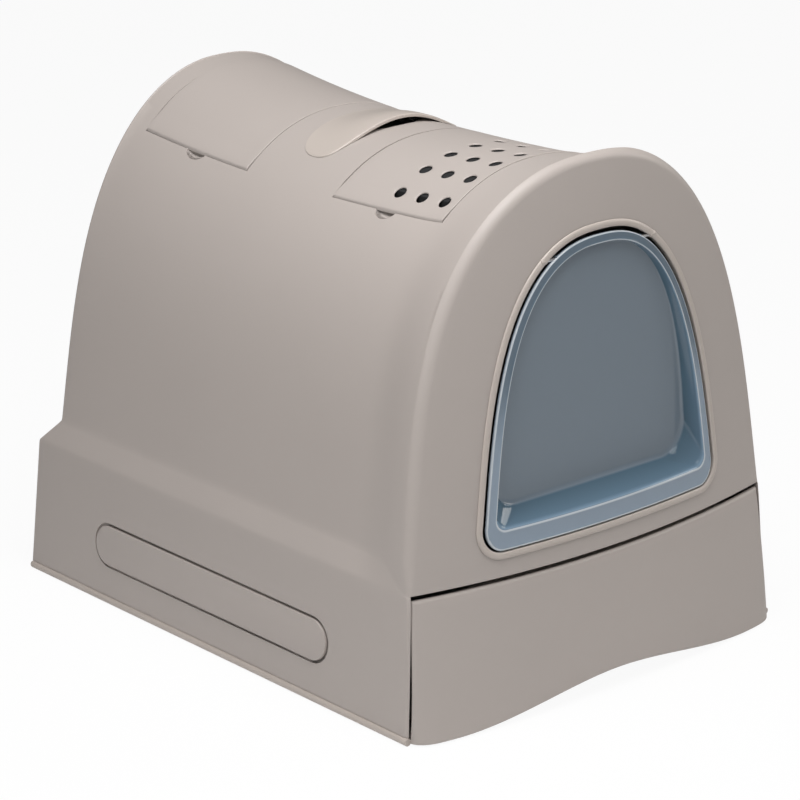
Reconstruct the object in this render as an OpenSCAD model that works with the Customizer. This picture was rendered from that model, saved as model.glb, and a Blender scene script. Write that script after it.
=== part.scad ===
// Covered litter box with a swing door, a front drawer, two roof lids and a carry handle.
// Millimetres, +Z up, the front faces -Y, the origin is on the floor under the middle of the rim.

/* [Overall] */
// Width over the rim bead at the floor
rim_w = 400; // [340:1:460]
// Depth of the rim, front corner to rear corner
rim_d = 488.7; // [420:0.1:560]
// Height of the roof at its lowest point, above the floor
roof_low = 405.6; // [360:0.1:460]
// Wall thickness of the hood
hood_wall = 3; // [2:0.1:5]

/* [Skirt] */
// Radius of the rolled rim bead
bead_r = 3; // [2:0.1:5]
// Height of the shoulder's lower edge
shoulder_z = 116.5; // [90:0.1:140]
// Height of the shoulder's upper crease
crease_z = 137; // [110:0.1:160]
// Inset of the skirt's sides at the shoulder
shoulder_in = 9; // [4:0.1:20]
// Inset of the skirt's rear at the shoulder
shoulder_rear_in = 7.75; // [3:0.05:20]
// Width of the skirt's lip beside the drawer
skirt_lip = 2.2; // [1.5:0.1:4]

/* [Hood] */
// Inset of the arch at the crease, middle and rear
arch_in = 18.1; // [12:0.1:35]
// Inset of the arch at the crease, at the front face
arch_in_front = 9.7; // [9.4:0.1:30]
// Inward lean of the arch's sides at the front
side_lean_front = 0.125; // [0:0.001:0.3]
// Inward lean of the arch's sides at the rear
side_lean_rear = 0.17; // [0:0.001:0.3]
// Squareness of the arch's shoulders
arch_power = 3.6; // [2:0.05:6]
// Roundness of the arch's crown
crown_power = 2.18; // [1.5:0.01:4]
// Saddle rise toward the front, per square millimetre
saddle_front = 0.00019; // [0:0.00001:0.001]
// Saddle rise toward the rear, per square millimetre
saddle_rear = 0.000385; // [0:0.000005:0.001]
// Extra rise of the brow over the door
brow_rise = 12; // [0:0.1:30]
// Length of the brow, back from the front edge
brow_length = 95; // [40:1:160]
// Inset of the arch's rear wall at the crease
rear_wall_in = 27.45; // [15:0.05:50]
// Rear wall's backward lean
rear_lean = 0.021; // [0:0.001:0.1]
// Front face's backward lean
front_lean = 0.08; // [0:0.001:0.2]
// Front face's bulge at the drawer seam
front_bulge = 21.54; // [5:0.01:40]
// Front face's hollow toward the top
front_hollow = 17.8; // [0:0.1:40]
// Round of the front face's edge
front_edge_r = 7.5; // [2:0.1:12]
// Round of the front edge beside the drawer
low_edge_r = 2.5; // [1:0.1:6]
// Round of the rear wall's edge
rear_edge_r = 4; // [1:0.1:10]
// Lower edge of the hood's front wall, in the middle
seam_z = 115.5; // [100:0.1:140]
// Rise of that edge toward the sides
seam_rise = 2.5; // [0:0.1:6]

/* [Door] */
// Lowest edge of the door
door_z = 138.2; // [125:0.1:160]
// Highest edge of the door
door_top = 366.4; // [320:0.1:390]
// Inset of the door's lower edge from the rim's width
door_in = 75; // [55:0.5:110]
// Inward lean of the door's sides
door_lean = 0.1156; // [0:0.0001:0.3]
// Squareness of the door's shoulders
door_power = 3.4; // [2:0.05:6]
// Roundness of the door's crown
door_crown = 2.45; // [1.5:0.01:4]
// Round of the door's lower corners
door_corner_r = 17; // [8:0.5:30]
// Width of the door's flange at its sides
flange_w = 10; // [4:0.5:20]
// Depth of the door's pan at the bottom
pan_depth = 24; // [8:0.5:40]
// Depth of the door's pan at the top
pan_depth_top = 4; // [1:0.5:20]
// Thickness of the door
door_t = 2.2; // [1.5:0.1:4]
// Height of the door's flange above the front face
door_proud = 1.2; // [0:0.1:2]
// Gap between door and frame
door_gap = 2.1; // [1.5:0.1:4]
// Width of the frame's bead
frame_w = 5.5; // [3:0.1:12]
// Height of the frame's bead above the front face
frame_proud = 1.9; // [1:0.1:4]
// Height of the hinge line
hinge_z = 353.3; // [320:0.1:380]
// Hinge line's distance behind the front face, in the middle
hinge_back = 3.163; // [1.5:0.001:6]
// Radius of the door's hinge pins
pin_r = 1.3; // [0.8:0.05:2]
// Radius of the bosses round the hinge pins
boss_r = 2.4; // [1.8:0.05:4]

/* [Drawer] */
// Top edge of the drawer front, in the middle
drawer_top = 111.3; // [90:0.1:140]
// Rise of that edge toward the sides
drawer_rise = 2.2; // [0:0.1:6]
// Gap between drawer front and skirt
drawer_gap = 1.3; // [0.5:0.1:4]
// Thickness of the drawer front
drawer_front_t = 3; // [2:0.1:5]
// Lower edge of the drawer front above the floor
drawer_low = 1.3; // [0.8:0.1:6]
// Rise of the finger grip in the middle
grip_rise = 15.4; // [4:0.1:30]
// Half width of the finger grip
grip_x = 160; // [80:1:175]
// Inset of the litter tray's sides
tray_in = 25; // [20:1:50]
// Inset of the litter tray's front wall
tray_front_in = 14.35; // [8:0.05:40]
// Inset of the litter tray's rear wall
tray_rear_in = 44.35; // [30:0.05:90]
// Rim height of the litter tray
tray_top = 100; // [60:1:105]
// Wall of the litter tray
tray_wall = 2.6; // [2:0.1:4]

/* [Lids] */
// Inset of both roof lids from the rim's width
lid_in = 102.5; // [90:0.5:120]
// Distance of the vent lid behind the rim's front
vent_in = 74.85; // [60:0.05:95]
// Length of the vent lid
vent_l = 128; // [105:0.5:145]
// Distance of the rear lid before the rim's rear
rear_in = 46.35; // [38:0.05:70]
// Length of the rear lid
rear_l = 132.5; // [100:0.5:145]
// Height of the lids above the roof
lid_proud = 1.5; // [0:0.1:2.5]
// Thickness of the lids
lid_t = 3; // [2:0.1:5]
// Gap round the lids
lid_gap = 0.6; // [0.4:0.1:1.5]
// Width of the ledge under the lids
ledge_w = 9; // [5:0.5:15]
// Distance of the lid hinge beyond the lid's edge
lid_hinge_out = 3; // [2.5:0.1:6]
// Radius of the lids' hinge rods
rod_r = 1.5; // [1:0.05:2]
// Radius of the lids' hinge barrels
barrel_r = 3.1; // [2.5:0.1:5]
// Diameter of the vent holes
vent_d = 11; // [6:0.5:15]
// Distance of the outer vent row from the lid's near edge
vent_edge = 14.9; // [10:0.1:30]
// Distance of the outer vent row from the lid's hinge edge
vent_edge_far = 22.9; // [15:0.1:35]
// Distance between vent columns, front to rear
vent_step_y = 25.5; // [18:0.1:40]
// Middle of the vent pattern, behind the lid's front edge
vent_mid = 40.2; // [35:0.1:80]
// Number of vent rows, across
vent_rows = 7; // [3:1:7]
// Half width of the finger scoops
scoop_w = 12.5; // [8:0.5:20]
// Reach of the finger scoops past the lid's edge
scoop_reach = 6.5; // [4:0.5:12]
// Depth of the finger scoops
scoop_depth = 7; // [2:0.1:8]
// Place of the vent lid's scoop, behind the lid's front edge
vent_scoop = 65.5; // [30:0.5:95]
// Place of the rear lid's scoop, behind the lid's front edge
rear_scoop = 65.5; // [30:0.5:100]
// Thickness of the carbon filter
filter_t = 6; // [4:0.5:12]
// Depth of the storage bin below the roof's lowest point
bin_depth = 75.6; // [40:0.1:110]

/* [Handle] */
// Half length of the carry handle
handle_x = 73; // [50:0.5:90]
// Widest part of the handle, front to rear
handle_mid_y = 11; // [0:0.5:20]
// Rear edge of the handle
handle_rear_y = 41; // [30:0.5:50]
// Height of the handle over the roof at its ends
handle_proud = 1.6; // [0.5:0.1:4]
// Extra rise of the handle's lip in the middle
handle_rise = 7; // [3:0.1:15]
// Thickness of the lip
lip_t = 4; // [2.5:0.1:6]

/* [Side inserts] */
// Length of the side inserts
insert_l = 296.6; // [200:0.1:340]
// Height of the side inserts
insert_h = 33.6; // [20:0.1:50]
// Height of their middle above the floor
insert_z = 50.8; // [30:0.1:80]
// Middle of the inserts, front to rear
insert_y = 2.9; // [-30:0.1:30]
// Thickness of the inserts
insert_t = 2.4; // [1.5:0.1:4]
// Gap round the inserts
insert_gap = 0.8; // [0.3:0.1:1.5]

/* [Fits] */
// Gap between pieces that are seated on each other
seat = 0.3; // [0.2:0.05:0.5]
// Radial play of a pin in a bore that turns
run_fit = 0.05; // [0.01:0.01:0.1]
// Radius of the screws' shafts
screw_r = 2; // [1.5:0.1:3]
// Radius of the screws' heads
screw_head_r = 4; // [3:0.1:6]

/* [View] */
// Piece to show

/* [Hidden] */
front_y0 = -rim_d / 2;
rear_y = rim_d / 2;
shoulder_x = rim_w / 2 - shoulder_in;
shoulder_rear_y = rear_y - shoulder_rear_in;
arch_x = rim_w / 2 - arch_in;
arch_x_front = rim_w / 2 - arch_in_front;
rear_wall_y = rear_y - rear_wall_in;
door_x = rim_w / 2 - door_in;
tray_x = rim_w / 2 - tray_in;
tray_front_y = front_y0 + tray_front_in;
tray_rear_y = rear_y - tray_rear_in;
lid_x = rim_w / 2 - lid_in;
vent_y0 = front_y0 + vent_in;
vent_y1 = vent_y0 + vent_l;
rear_y1 = rear_y - rear_in;
rear_y0 = rear_y1 - rear_l;
vent_mid_y = vent_y0 + vent_mid;
vent_step_x = (2 * lid_x - vent_edge - vent_edge_far) / (vent_rows - 1);
vent_mid_x = (vent_edge - vent_edge_far) / 2;
vent_scoop_y = vent_y0 + vent_scoop;
rear_scoop_y = rear_y0 + rear_scoop;
lid_hinge_x = lid_x + lid_hinge_out;
bin_z = roof_low - bin_depth;
under_roof = roof_low - 65.6;
skirt_x0 = rim_w / 2 - 2.1;
skirt_slope = (skirt_x0 - shoulder_x) / shoulder_z;
skirt_rear_slope = shoulder_rear_in / shoulder_z;
skirt_low = 2 * bead_r + seat;
insert_slope = 0.077;
front_station = front_y0 + 22.35;
brow_end = front_y0 + 9.35 + brow_length;
station_span = rear_wall_y - 5 - front_station;
grey = [0.62, 0.57, 0.53];
pale_grey = [0.72, 0.68, 0.64];
dark_grey = [0.45, 0.42, 0.39];
slate_blue = [0.45, 0.52, 0.58];
steel = [0.7, 0.71, 0.72];
black = [0.08, 0.08, 0.08];

// Small helpers for outlines.
function ease(s) = let (c = min(1, max(0, s))) c * c * (3 - 2 * c);
function unit(v) = v / norm(v);
function skirt_x(z) = skirt_x0 - skirt_slope * z;

// Side of the half outline that faces the inside, at point j.
function inward(p, j) = j == 0 ? [-1, 0] : j == len(p) - 1 ? [0, -1]
    : let (t = unit(p[j + 1] - p[j - 1])) [-t[1], t[0]];

// The arch: ridge height, half width at the crease, lean, and the outline at one station.
function ridge(y) = roof_low + (y > 0 ? saddle_rear : saddle_front) * y * y
    + brow_rise * pow(max(0, brow_end - y) / brow_length, 2);
function arch_a(y) = arch_x + (arch_x_front - arch_x) * ease((front_y0 + 79.35 - y) / 60);
function crease(y) = crease_z - (crease_z - shoulder_z - 0.6) * ease((front_y0 + 52.35 - y) / 35);
function along(y) = min(1, max(0, (y - front_station) / station_span));
function arch_lean(y) = side_lean_front + (side_lean_rear - side_lean_front) * along(y);
function arch_half(t, y) = (arch_a(y) - arch_lean(y) * (ridge(y) - crease_z) * t)
    * pow(max(0, 1 - pow(t, arch_power)), 1 / crown_power);
function outline(y, low, steps) = concat(
    [[skirt_x(low), low], [shoulder_x, shoulder_z], [min(arch_a(y), shoulder_x - 0.3), crease(y)]],
    [for (i = [1:steps]) let (t = 1 - pow(1 - i / steps, 2.2))
        [arch_half(t, y), crease_z + (ridge(y) - crease_z) * t]]);

// Height of the roof over a point, found by halving.
function arch_t(x, y, lo, hi, n) = n == 0 ? (lo + hi) / 2
    : let (m = (lo + hi) / 2) arch_half(m, y) > x ? arch_t(x, y, m, hi, n - 1) : arch_t(x, y, lo, m, n - 1);
function roof_z(x, y) = crease_z + (ridge(y) - crease_z) * arch_t(abs(x), y, 0, 1, 22);

// The bulging front face, and the rear face at outline point j.
function front_y(x, z) = let (q = (z - 117) / 320)
    front_y0 + front_lean * z - front_bulge * (1 + 0.82 * q) * (1 - pow(x * 2 / rim_w, 2))
        + front_hollow * q * q;
function back_y(j, z) = j < 2 ? rim_d / 2 - skirt_rear_slope * z : rear_wall_y + rear_lean * (z - crease_z);

// One closed ring of the hood: inset d, at station share u, or round an edge by angle a.
function edge_r(z) = low_edge_r + (front_edge_r - low_edge_r) * ease((z - seam_z + 7) / 34);
function seam(x) = seam_z + seam_rise * pow(x * 2 / rim_w, 2);
function back_r(j) = j < 2 ? rear_edge_r * 0.6 : rear_edge_r;
function both(h) = concat([for (p = h) [-p[0], p[1], p[2]]], [for (j = [len(h) - 2:-1:0]) h[j]]);
function body_ring(u, d, low, steps) = let (o = outline(front_station + u * station_span, low, steps))
    both([for (j = [0:len(o) - 1]) let (p = o[j] + d * inward(o, j),
        y0 = front_y(p[0], p[1]) + (d > 0 ? d : edge_r(p[1])),
        y1 = back_y(j, p[1]) - (d > 0 ? d : back_r(j))) [p[0], y0 + (y1 - y0) * u, p[1]]]);
function front_ring(a, low, steps) = let (o = outline(front_station - 10, low, steps))
    both([for (j = [0:len(o) - 1]) let (r = edge_r(o[j][1]), p = o[j] + r * (1 - cos(a)) * inward(o, j))
        [p[0], front_y(p[0], p[1]) + r * (1 - sin(a)), p[1]]]);
function rear_ring(a, low, steps) = let (o = outline(rear_wall_y, low, steps))
    both([for (j = [0:len(o) - 1]) let (r = back_r(j), p = o[j] + r * (1 - cos(a)) * inward(o, j))
        [p[0], back_y(j, p[1]) - r * (1 - sin(a)), p[1]]]);

// Solid between rings of one size, its front end a grid that follows the front face.
module hood_body(rings, columns, d) {
    n = len(rings[0]);
    half = (n - 1) / 2;
    last = (len(rings) - 1) * n;
    grid0 = len(rings) * n;
    inner = [for (j = [0:half - 1]) for (c = [1:columns - 1])
        let (a = rings[0][j], x = a[0] * (1 - 2 * c / columns)) [x, front_y(x, a[2]) + d, a[2]]];
    function cell(j, c) = c == 0 ? j : c == columns ? n - 1 - j : grid0 + j * (columns - 1) + c - 1;
    polyhedron(
        points = concat([for (r = rings) for (p = r) p], inner),
        faces = concat(
            [for (r = [0:len(rings) - 2]) for (i = [0:n - 1])
                let (a = r * n + i, b = r * n + (i + 1) % n) each [[a, b + n, b], [a, a + n, b + n]]],
            [for (j = [0:half - 2]) for (c = [0:columns - 1])
                each [[cell(j, c), cell(j + 1, c), cell(j + 1, c + 1)],
                    [cell(j, c), cell(j + 1, c + 1), cell(j, c + 1)]]],
            [for (c = [0:columns - 1]) [cell(half - 1, c), half, cell(half - 1, c + 1)]],
            [for (c = [1:columns - 1]) [cell(0, 0), cell(0, c), cell(0, c + 1)]],
            [for (j = [0:half - 2])
                each [[last + j, last + n - 1 - j, last + n - 2 - j],
                [last + j, last + n - 2 - j, last + j + 1]]],
            [[last + half - 1, last + half + 1, last + half]]),
        convexity = 8);
}

// Closed sheet between an upper and a lower grid of points.
module sheet(a, b) {
    m = len(a);
    n = len(a[0]);
    k = m * n;
    function at(i, j) = i * n + j;
    polyhedron(
        points = concat([for (r = a) for (p = r) p], [for (r = b) for (p = r) p]),
        faces = concat(
            [for (i = [0:m - 2]) for (j = [0:n - 2])
                each [[at(i, j), at(i, j + 1), at(i + 1, j + 1)],
                    [at(i, j), at(i + 1, j + 1), at(i + 1, j)]]],
            [for (i = [0:m - 2]) for (j = [0:n - 2])
                each [[k + at(i, j), k + at(i + 1, j + 1), k + at(i, j + 1)],
                    [k + at(i, j), k + at(i + 1, j), k + at(i + 1, j + 1)]]],
            [for (i = [0:m - 2])
                each [[at(i, 0), at(i + 1, 0), k + at(i + 1, 0)],
                [at(i, 0), k + at(i + 1, 0), k + at(i, 0)]]],
            [for (i = [0:m - 2])
                each [[at(i, n - 1), k + at(i + 1, n - 1), at(i + 1, n - 1)],
                [at(i, n - 1), k + at(i, n - 1), k + at(i + 1, n - 1)]]],
            [for (j = [0:n - 2])
                each [[at(0, j), k + at(0, j + 1), at(0, j + 1)],
                [at(0, j), k + at(0, j), k + at(0, j + 1)]]],
            [for (j = [0:n - 2])
                each [[at(m - 1, j), at(m - 1, j + 1), k + at(m - 1, j + 1)],
                [at(m - 1, j), k + at(m - 1, j + 1), k + at(m - 1, j)]]]),
        convexity = 6);
}

function split(a, b, n) = [for (i = [0:n]) a + (b - a) * i / n];

// Sheet that follows the roof, its faces up and down from it by the two distances.
module roof_sheet(x0, x1, y0, y1, up, down, nx = 16, ny = 6) {
    xs = split(x0, x1, nx);
    ys = split(y0, y1, ny);
    sheet([for (x = xs) [for (y = ys) [x, y, roof_z(x, y) + up]]],
        [for (x = xs) [for (y = ys) [x, y, roof_z(x, y) - down]]]);
}

// Block with its top under the roof and a flat floor.
module roof_block(x0, x1, y0, y1, down, floor_z) {
    xs = split(x0, x1, 12);
    ys = split(y0, y1, 5);
    sheet([for (x = xs) [for (y = ys) [x, y, roof_z(x, y) - down]]],
        [for (x = xs) [for (y = ys) [x, y, floor_z]]]);
}

// The door's outline, anticlockwise from the bottom, and its outward side.
function door_half() = concat(
    [for (x = [0, 36, 72]) [x, door_z]],
    [for (a = [-90:15:0]) [door_x - door_lean * door_corner_r - door_corner_r + door_corner_r * cos(a),
        door_z + door_corner_r + door_corner_r * sin(a)]],
    [for (i = [0:17]) let (t0 = door_corner_r / (door_top - door_z), s = (i + 1) / 18,
        t = t0 + (1 - t0) * (1 - pow(1 - s, 2.1)))
        [(door_x - door_lean * (door_top - door_z) * t) * pow(max(0, 1 - pow(t, door_power)),
            1 / door_crown),
            door_z + (door_top - door_z) * t]]);
function door_wide(z) = let (t = (z - door_z) / (door_top - door_z))
    (door_x - door_lean * (z - door_z)) * pow(max(0, 1 - pow(t, door_power)), 1 / door_crown);
hinge_y = front_y(0, hinge_z) + hinge_back;
pin_x0 = door_wide(hinge_z) - 13;
boss_x0 = door_wide(hinge_z - boss_r) + 1.2;
boss_x1 = boss_x0 + 6;
door_loop = let (h = door_half(), n = len(h))
    concat(h, [for (j = [n - 2:-1:1]) [-h[j][0], h[j][1]]]);
door_n = len(door_loop);
door_side = [for (j = [0:door_n - 1]) let (t =
    unit(door_loop[(j + 1) % door_n] - door_loop[(j + door_n - 1) % door_n])) [t[1], -t[0]]];
function door_out(d) = [for (j = [0:door_n - 1]) door_loop[j] + d * door_side[j]];
function ridge_in(j) = let (s = door_side[j][1]) flange_w + (s < 0 ? 5.5 : -1.5) * s * s;
door_ridge = [for (j = [0:door_n - 1]) door_loop[j] - ridge_in(j) * door_side[j]];
function shrink(s, q) = [for (p = door_ridge) [p[0] * (1 - s * 0.09), q - (q - p[1]) * (1 - s * 0.07)]];
function pan_y(z) = front_y(0, door_z + 16) + pan_depth
    + (front_y(0, door_top - 9) + pan_depth_top - front_y(0, door_z + 16) - pan_depth) * (z - door_z
        - 16) / (door_top - door_z - 25);

// Solid through closed loops of one length; the last loop joins the first one.
module ring_solid(loops) {
    m = len(loops);
    n = len(loops[0]);
    polyhedron(
        points = [for (r = loops) for (p = r) p],
        faces = [for (r = [0:m - 1]) for (i = [0:n - 1])
            let (a = r * n + i, b = r * n + (i + 1) % n, c = ((r + 1) % m) * n + (i + 1) % n,
                e = ((r + 1) % m) * n + i)
            each [[a, b, c], [a, c, e]]],
        convexity = 8);
}

// Solid through closed loops of one length, with flat ends.
module capped_solid(loops) {
    m = len(loops);
    n = len(loops[0]);
    last = (m - 1) * n;
    half = n / 2;
    polyhedron(
        points = [for (r = loops) for (p = r) p],
        faces = concat(
            [for (r = [0:m - 2]) for (i = [0:n - 1])
                let (a = r * n + i, b = r * n + (i + 1) % n) each [[a, b, b + n], [a, b + n, a + n]]],
            [for (i = [0:n - 1]) if (i != half && i != half - 1)
                each [[half, (i + 1) % n, i], [last + half, last + i, last + (i + 1) % n]]]),
        convexity = 8);
}

// Straight bar along X or Y between two positions.
module rod_x(x0, x1, y, z, r) {
    translate([x0, y, z]) rotate([0, 90, 0]) cylinder(h = x1 - x0, r = r, $fn = 48);
}
module rod_y(x, y0, y1, z, r) {
    translate([x, y0, z]) rotate([-90, 0, 0]) cylinder(h = y1 - y0, r = r, $fn = 48);
}

// Places its child on a lid's sloping hinge line; the child lies along Y from 0.
function lid_line(y0, y1) = let (a = roof_z(lid_hinge_x, y0), b = roof_z(lid_hinge_x, y1)) [a - 0.4,
    (b - a) / (y1 - y0)];
module on_lid_line(y0, y1) {
    l = lid_line(y0, y1);
    translate([lid_hinge_x, y0, l[0]]) rotate([atan(l[1]), 0, 0]) children();
}
module line_rod(y0, y1, a, b, r) {
    on_lid_line(y0, y1) translate([0, a, 0]) rotate([-90, 0, 0]) cylinder(h = b - a, r = r, $fn = 48);
}

// A side insert's outline as a flat plate, on the skirt's left or right side.
module stadium(l, h, t) {
    for (s = [-1, 1]) translate([s * (l - h) / 2, 0, 0]) cylinder(h = t, r = h / 2, $fn = 96);
    translate([-(l - h) / 2, -h / 2, 0]) cube([l - h, h, t]);
}
module on_skirt(side, depth) {
    translate([side * (rim_w / 2 - insert_slope * insert_z), insert_y, insert_z])
        rotate([0, -side * atan(insert_slope), 0]) rotate([90, 0, side * 90]) translate([0, 0, -depth])
            children();
}

screw_ys = [front_y0 + 94.35, 20, rear_y - 49.35];
screw_x = rim_w / 2 - 13.5;
ledge_x = rim_w / 2 - 21;
base_t = 3;
handle_posts = [[-58, 5], [-58, 26], [58, 5], [58, 26]];
peg_xs = [-120, -40, 40, 120];
peg_z = 60;

module base_tray() color(grey) {
    side = rim_w / 2 - bead_r;
    back = rear_y - bead_r;
    y0 = front_y0 + 8.35;
    rail_y = y0 + 24;
    difference() {
        union() {
            translate([-ledge_x - 1, y0, 0]) cube([2 * ledge_x + 2, back - y0, base_t]);
            for (s = [-1, 1]) translate([s > 0 ? ledge_x : -side, y0, 0])
                cube([side - ledge_x, back - y0, 2 * bead_r]);
            translate([-side, back - 14, 0]) cube([2 * side, 14, 2 * bead_r]);
            for (s = [-1, 1]) rod_y(s * side, front_y0 + 0.8, back, bead_r, bead_r);
            rod_x(-side, side, back, bead_r, bead_r);
            for (s = [-1, 1]) translate([s * side, back, bead_r]) sphere(r = bead_r, $fn = 32);
            for (s = [-1, 1]) translate([s * (ledge_x + 1.2) - 1.2, rail_y, 0])
                cube([2.4, back - 14 - rail_y, 22]);
            for (x = [-110, 0, 110]) translate([x - 3, rail_y, base_t]) cube([6, back - 28 - rail_y, 0.9]);
        }
        for (s = [-1, 1]) for (y = screw_ys) {
            translate([s * screw_x, y, -1]) cylinder(h = 4, r = screw_head_r + 0.4, $fn = 48);
            translate([s * screw_x, y, -1]) cylinder(h = 10, r = screw_r + 0.3, $fn = 48);
        }
    }
}

module base_screws() color(steel) {
    for (s = [-1, 1]) for (y = screw_ys) translate([s * screw_x, y, 0]) difference() {
        union() {
            translate([0, 0, 0.5]) cylinder(h = 2.2, r = screw_head_r, $fn = 48);
            cylinder(h = 28, r = screw_r, $fn = 48);
        }
        translate([0, 0, -1]) cylinder(h = 2.6, r = 1.5, $fn = 6);
        translate([0, 0, -1]) cylinder(h = 1.5, r = screw_r + 1, $fn = 48);
    }
}

module lid_pad(y0, y1, depth) {
    roof_sheet(-lid_x - 7, lid_x + 7, y0 - 7, y1 + 7, -1, depth);
}

// Seat of a lid in the roof: the recess, the passage below it, and the finger scoop.
module lid_seat(y0, y1, depth, scoop_y) {
    roof_sheet(-lid_x - lid_gap, lid_x + lid_gap, y0 - lid_gap, y1 + lid_gap, 30, depth);
    translate([-lid_x + ledge_w, y0 + ledge_w, under_roof])
        cube([2 * (lid_x - ledge_w), y1 - y0 - 2 * ledge_w, 100]);
    r = (scoop_w * scoop_w + scoop_reach * scoop_reach) / (2 * scoop_reach);
    translate([-lid_x - scoop_reach + r, scoop_y, roof_z(lid_x, scoop_y) - scoop_depth])
        cylinder(h = 40, r = r, $fn = 96);
}
module scoop_block(scoop_y) {
    translate([-lid_x - scoop_reach + 1, scoop_y - 18, roof_z(lid_x, scoop_y) - scoop_depth - 5])
        cube([19, 36, 5.6]);
}
module knuckle_room(y0, y1) {
    for (k = [[0.12, 0.32], [0.68, 0.88]])
        line_rod(y0, y1, (y1 - y0) * k[0] - 0.5, (y1 - y0) * k[1] + 0.5, barrel_r + 0.7);
}
module hinge_lands(y0, y1) {
    for (k = [[0.04, 0.12], [0.32, 0.68], [0.88, 0.96]])
        line_rod(y0, y1, (y1 - y0) * k[0], (y1 - y0) * k[1], barrel_r);
}

module hood_outer() {
    steps = 26;
    hood_body(concat(
        [for (a = [90, 60, 30]) front_ring(a, skirt_low, steps)],
        [for (u = [0, 0.02, 0.04, 0.06, 0.085, 0.12, 0.16, 0.2, 0.25, 0.3, 0.36, 0.42, 0.48, 0.53, 0.58,
            0.64, 0.7, 0.76, 0.82, 0.88, 0.94, 1])
            body_ring(u, 0, skirt_low, steps)],
        [for (a = [30, 60, 90]) rear_ring(a, skirt_low, steps)]), 10, 0);
}
module hood_inner() {
    steps = 16;
    hood_body([for (u = [0, 0.04, 0.085, 0.16, 0.3, 0.45, 0.6, 0.75, 0.9, 1])
        body_ring(u, hood_wall, 0, steps)], 8, hood_wall);
}

module hood_shell() color(grey) {
    opening = door_out(door_gap + frame_w - 3.4);
    seam_x = skirt_x(seam_z) - 10.7;
    side_low = skirt_x(0) - skirt_lip;
    side_high = skirt_x(seam(seam_x)) - skirt_lip;
    difference() {
        union() {
            difference() {
                hood_outer();
                hood_inner();
            }
            lid_pad(vent_y0, vent_y1, 7);
            lid_pad(rear_y0, rear_y1, 9.5);
            scoop_block(vent_scoop_y);
            scoop_block(rear_scoop_y);
            translate([0, 0, seam_z + seam_rise]) linear_extrude(2.5) polygon(concat(
                [for (x = split(-seam_x, seam_x, 12)) [x, front_y(x, seam_z) + 1.2]],
                [[seam_x, front_station], [-seam_x, front_station]]));
            for (s = [-1, 1]) for (y = screw_ys) {
                translate([s * screw_x, y, skirt_low]) cylinder(h = 32, r = 4.6, $fn = 48);
                translate([s > 0 ? screw_x : -screw_x - 7, y - 1.5, skirt_low]) cube([7, 3, 32]);
            }
            for (s = [-1, 1]) on_skirt(s, 7) stadium(insert_l + 6, insert_h + 6, 6);
            for (p = handle_posts) {
                low = roof_z(p[0], p[1]) - 12;
                translate([p[0], p[1], low])
                    cylinder(h = roof_z(abs(p[0]) + 8, p[1]) - 0.6 - low, r = 8, $fn = 48);
            }
            hinge_lands(vent_y0, vent_y1);
            hinge_lands(rear_y0, rear_y1);
        }
        translate([0, front_y0 + 44, 0]) rotate([90, 0, 0]) linear_extrude(100) polygon(opening);
        translate([0, front_y0 + 18, 0]) rotate([90, 0, 0]) linear_extrude(60) polygon(concat(
            [[side_low, -1], [side_high, seam(side_high)]],
            [for (x = split(seam_x, -seam_x, 14)) [x, seam(x)]],
            [[-side_high, seam(side_high)], [-side_low, -1]]));
        for (s = [-1, 1]) rod_x(s > 0 ? boss_x0 - 4 : -boss_x1 - 0.4, s > 0 ? boss_x1 + 0.4 : 4 - boss_x0,
            hinge_y, hinge_z, boss_r + 0.3);
        lid_seat(vent_y0, vent_y1, lid_t + seat - lid_proud, vent_scoop_y);
        lid_seat(rear_y0, rear_y1, lid_t + 2.6 + 2 * seat - lid_proud, rear_scoop_y);
        knuckle_room(vent_y0, vent_y1);
        knuckle_room(rear_y0, rear_y1);
        line_rod(vent_y0, vent_y1, 1, vent_y1 - vent_y0 + 3, rod_r + 0.02);
        line_rod(rear_y0, rear_y1, 1, rear_y1 - rear_y0 + 3, rod_r + 0.02);
        translate([0, 0, roof_low - 25.6]) linear_extrude(50)
            polygon([[-44, 0], [-25, -3.5], [-14, -10], [0, -11.2],
            [14, -10], [25, -3.5], [44, 0], [48, 8], [48, 28], [40, 34], [-40, 34], [-48, 28], [-48, 8]]);
        for (s = [-1, 1]) for (y = screw_ys)
            translate([s * screw_x, y, 0]) cylinder(h = 32, r = screw_r + run_fit, $fn = 48);
        for (s = [-1, 1]) on_skirt(s, insert_t + seat)
            stadium(insert_l + 2 * insert_gap, insert_h + 2 * insert_gap, 12);
        for (s = [-1, 1]) on_skirt(s, 9) for (x = [-100, 100])
            translate([x, 0, 0]) cylinder(h = 9, r = 3 + run_fit, $fn = 48);
        for (p = handle_posts) {
            low = roof_z(p[0], p[1]) - 12;
            translate([p[0], p[1], low - 33]) cylinder(h = 60, r = 4.3, $fn = 48);
            translate([p[0], p[1], low - 33]) cylinder(h = 33.01, r = 9, $fn = 48);
        }
    }
}

module side_insert(side) {
    on_skirt(side, insert_t) stadium(insert_l, insert_h, insert_t);
    on_skirt(side, 6.6) for (x = [-100, 100]) translate([x, 0, 0]) cylinder(h = 6, r = 3, $fn = 48);
}
module side_insert_left() color(grey) side_insert(-1);
module side_insert_right() color(grey) side_insert(1);

module rounded_box(x, y0, y1, z0, z1, r) {
    for (sx = [-1, 1]) for (y = [y0 + r, y1 - r]) translate([sx * (x - r), y, z0])
        cylinder(h = z1 - z0, r = r, $fn = 96);
    translate([-x + r, y0, z0]) cube([2 * (x - r), y1 - y0, z1 - z0]);
    translate([-x, y0 + r, z0]) cube([2 * x, y1 - y0 - 2 * r, z1 - z0]);
}

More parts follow.
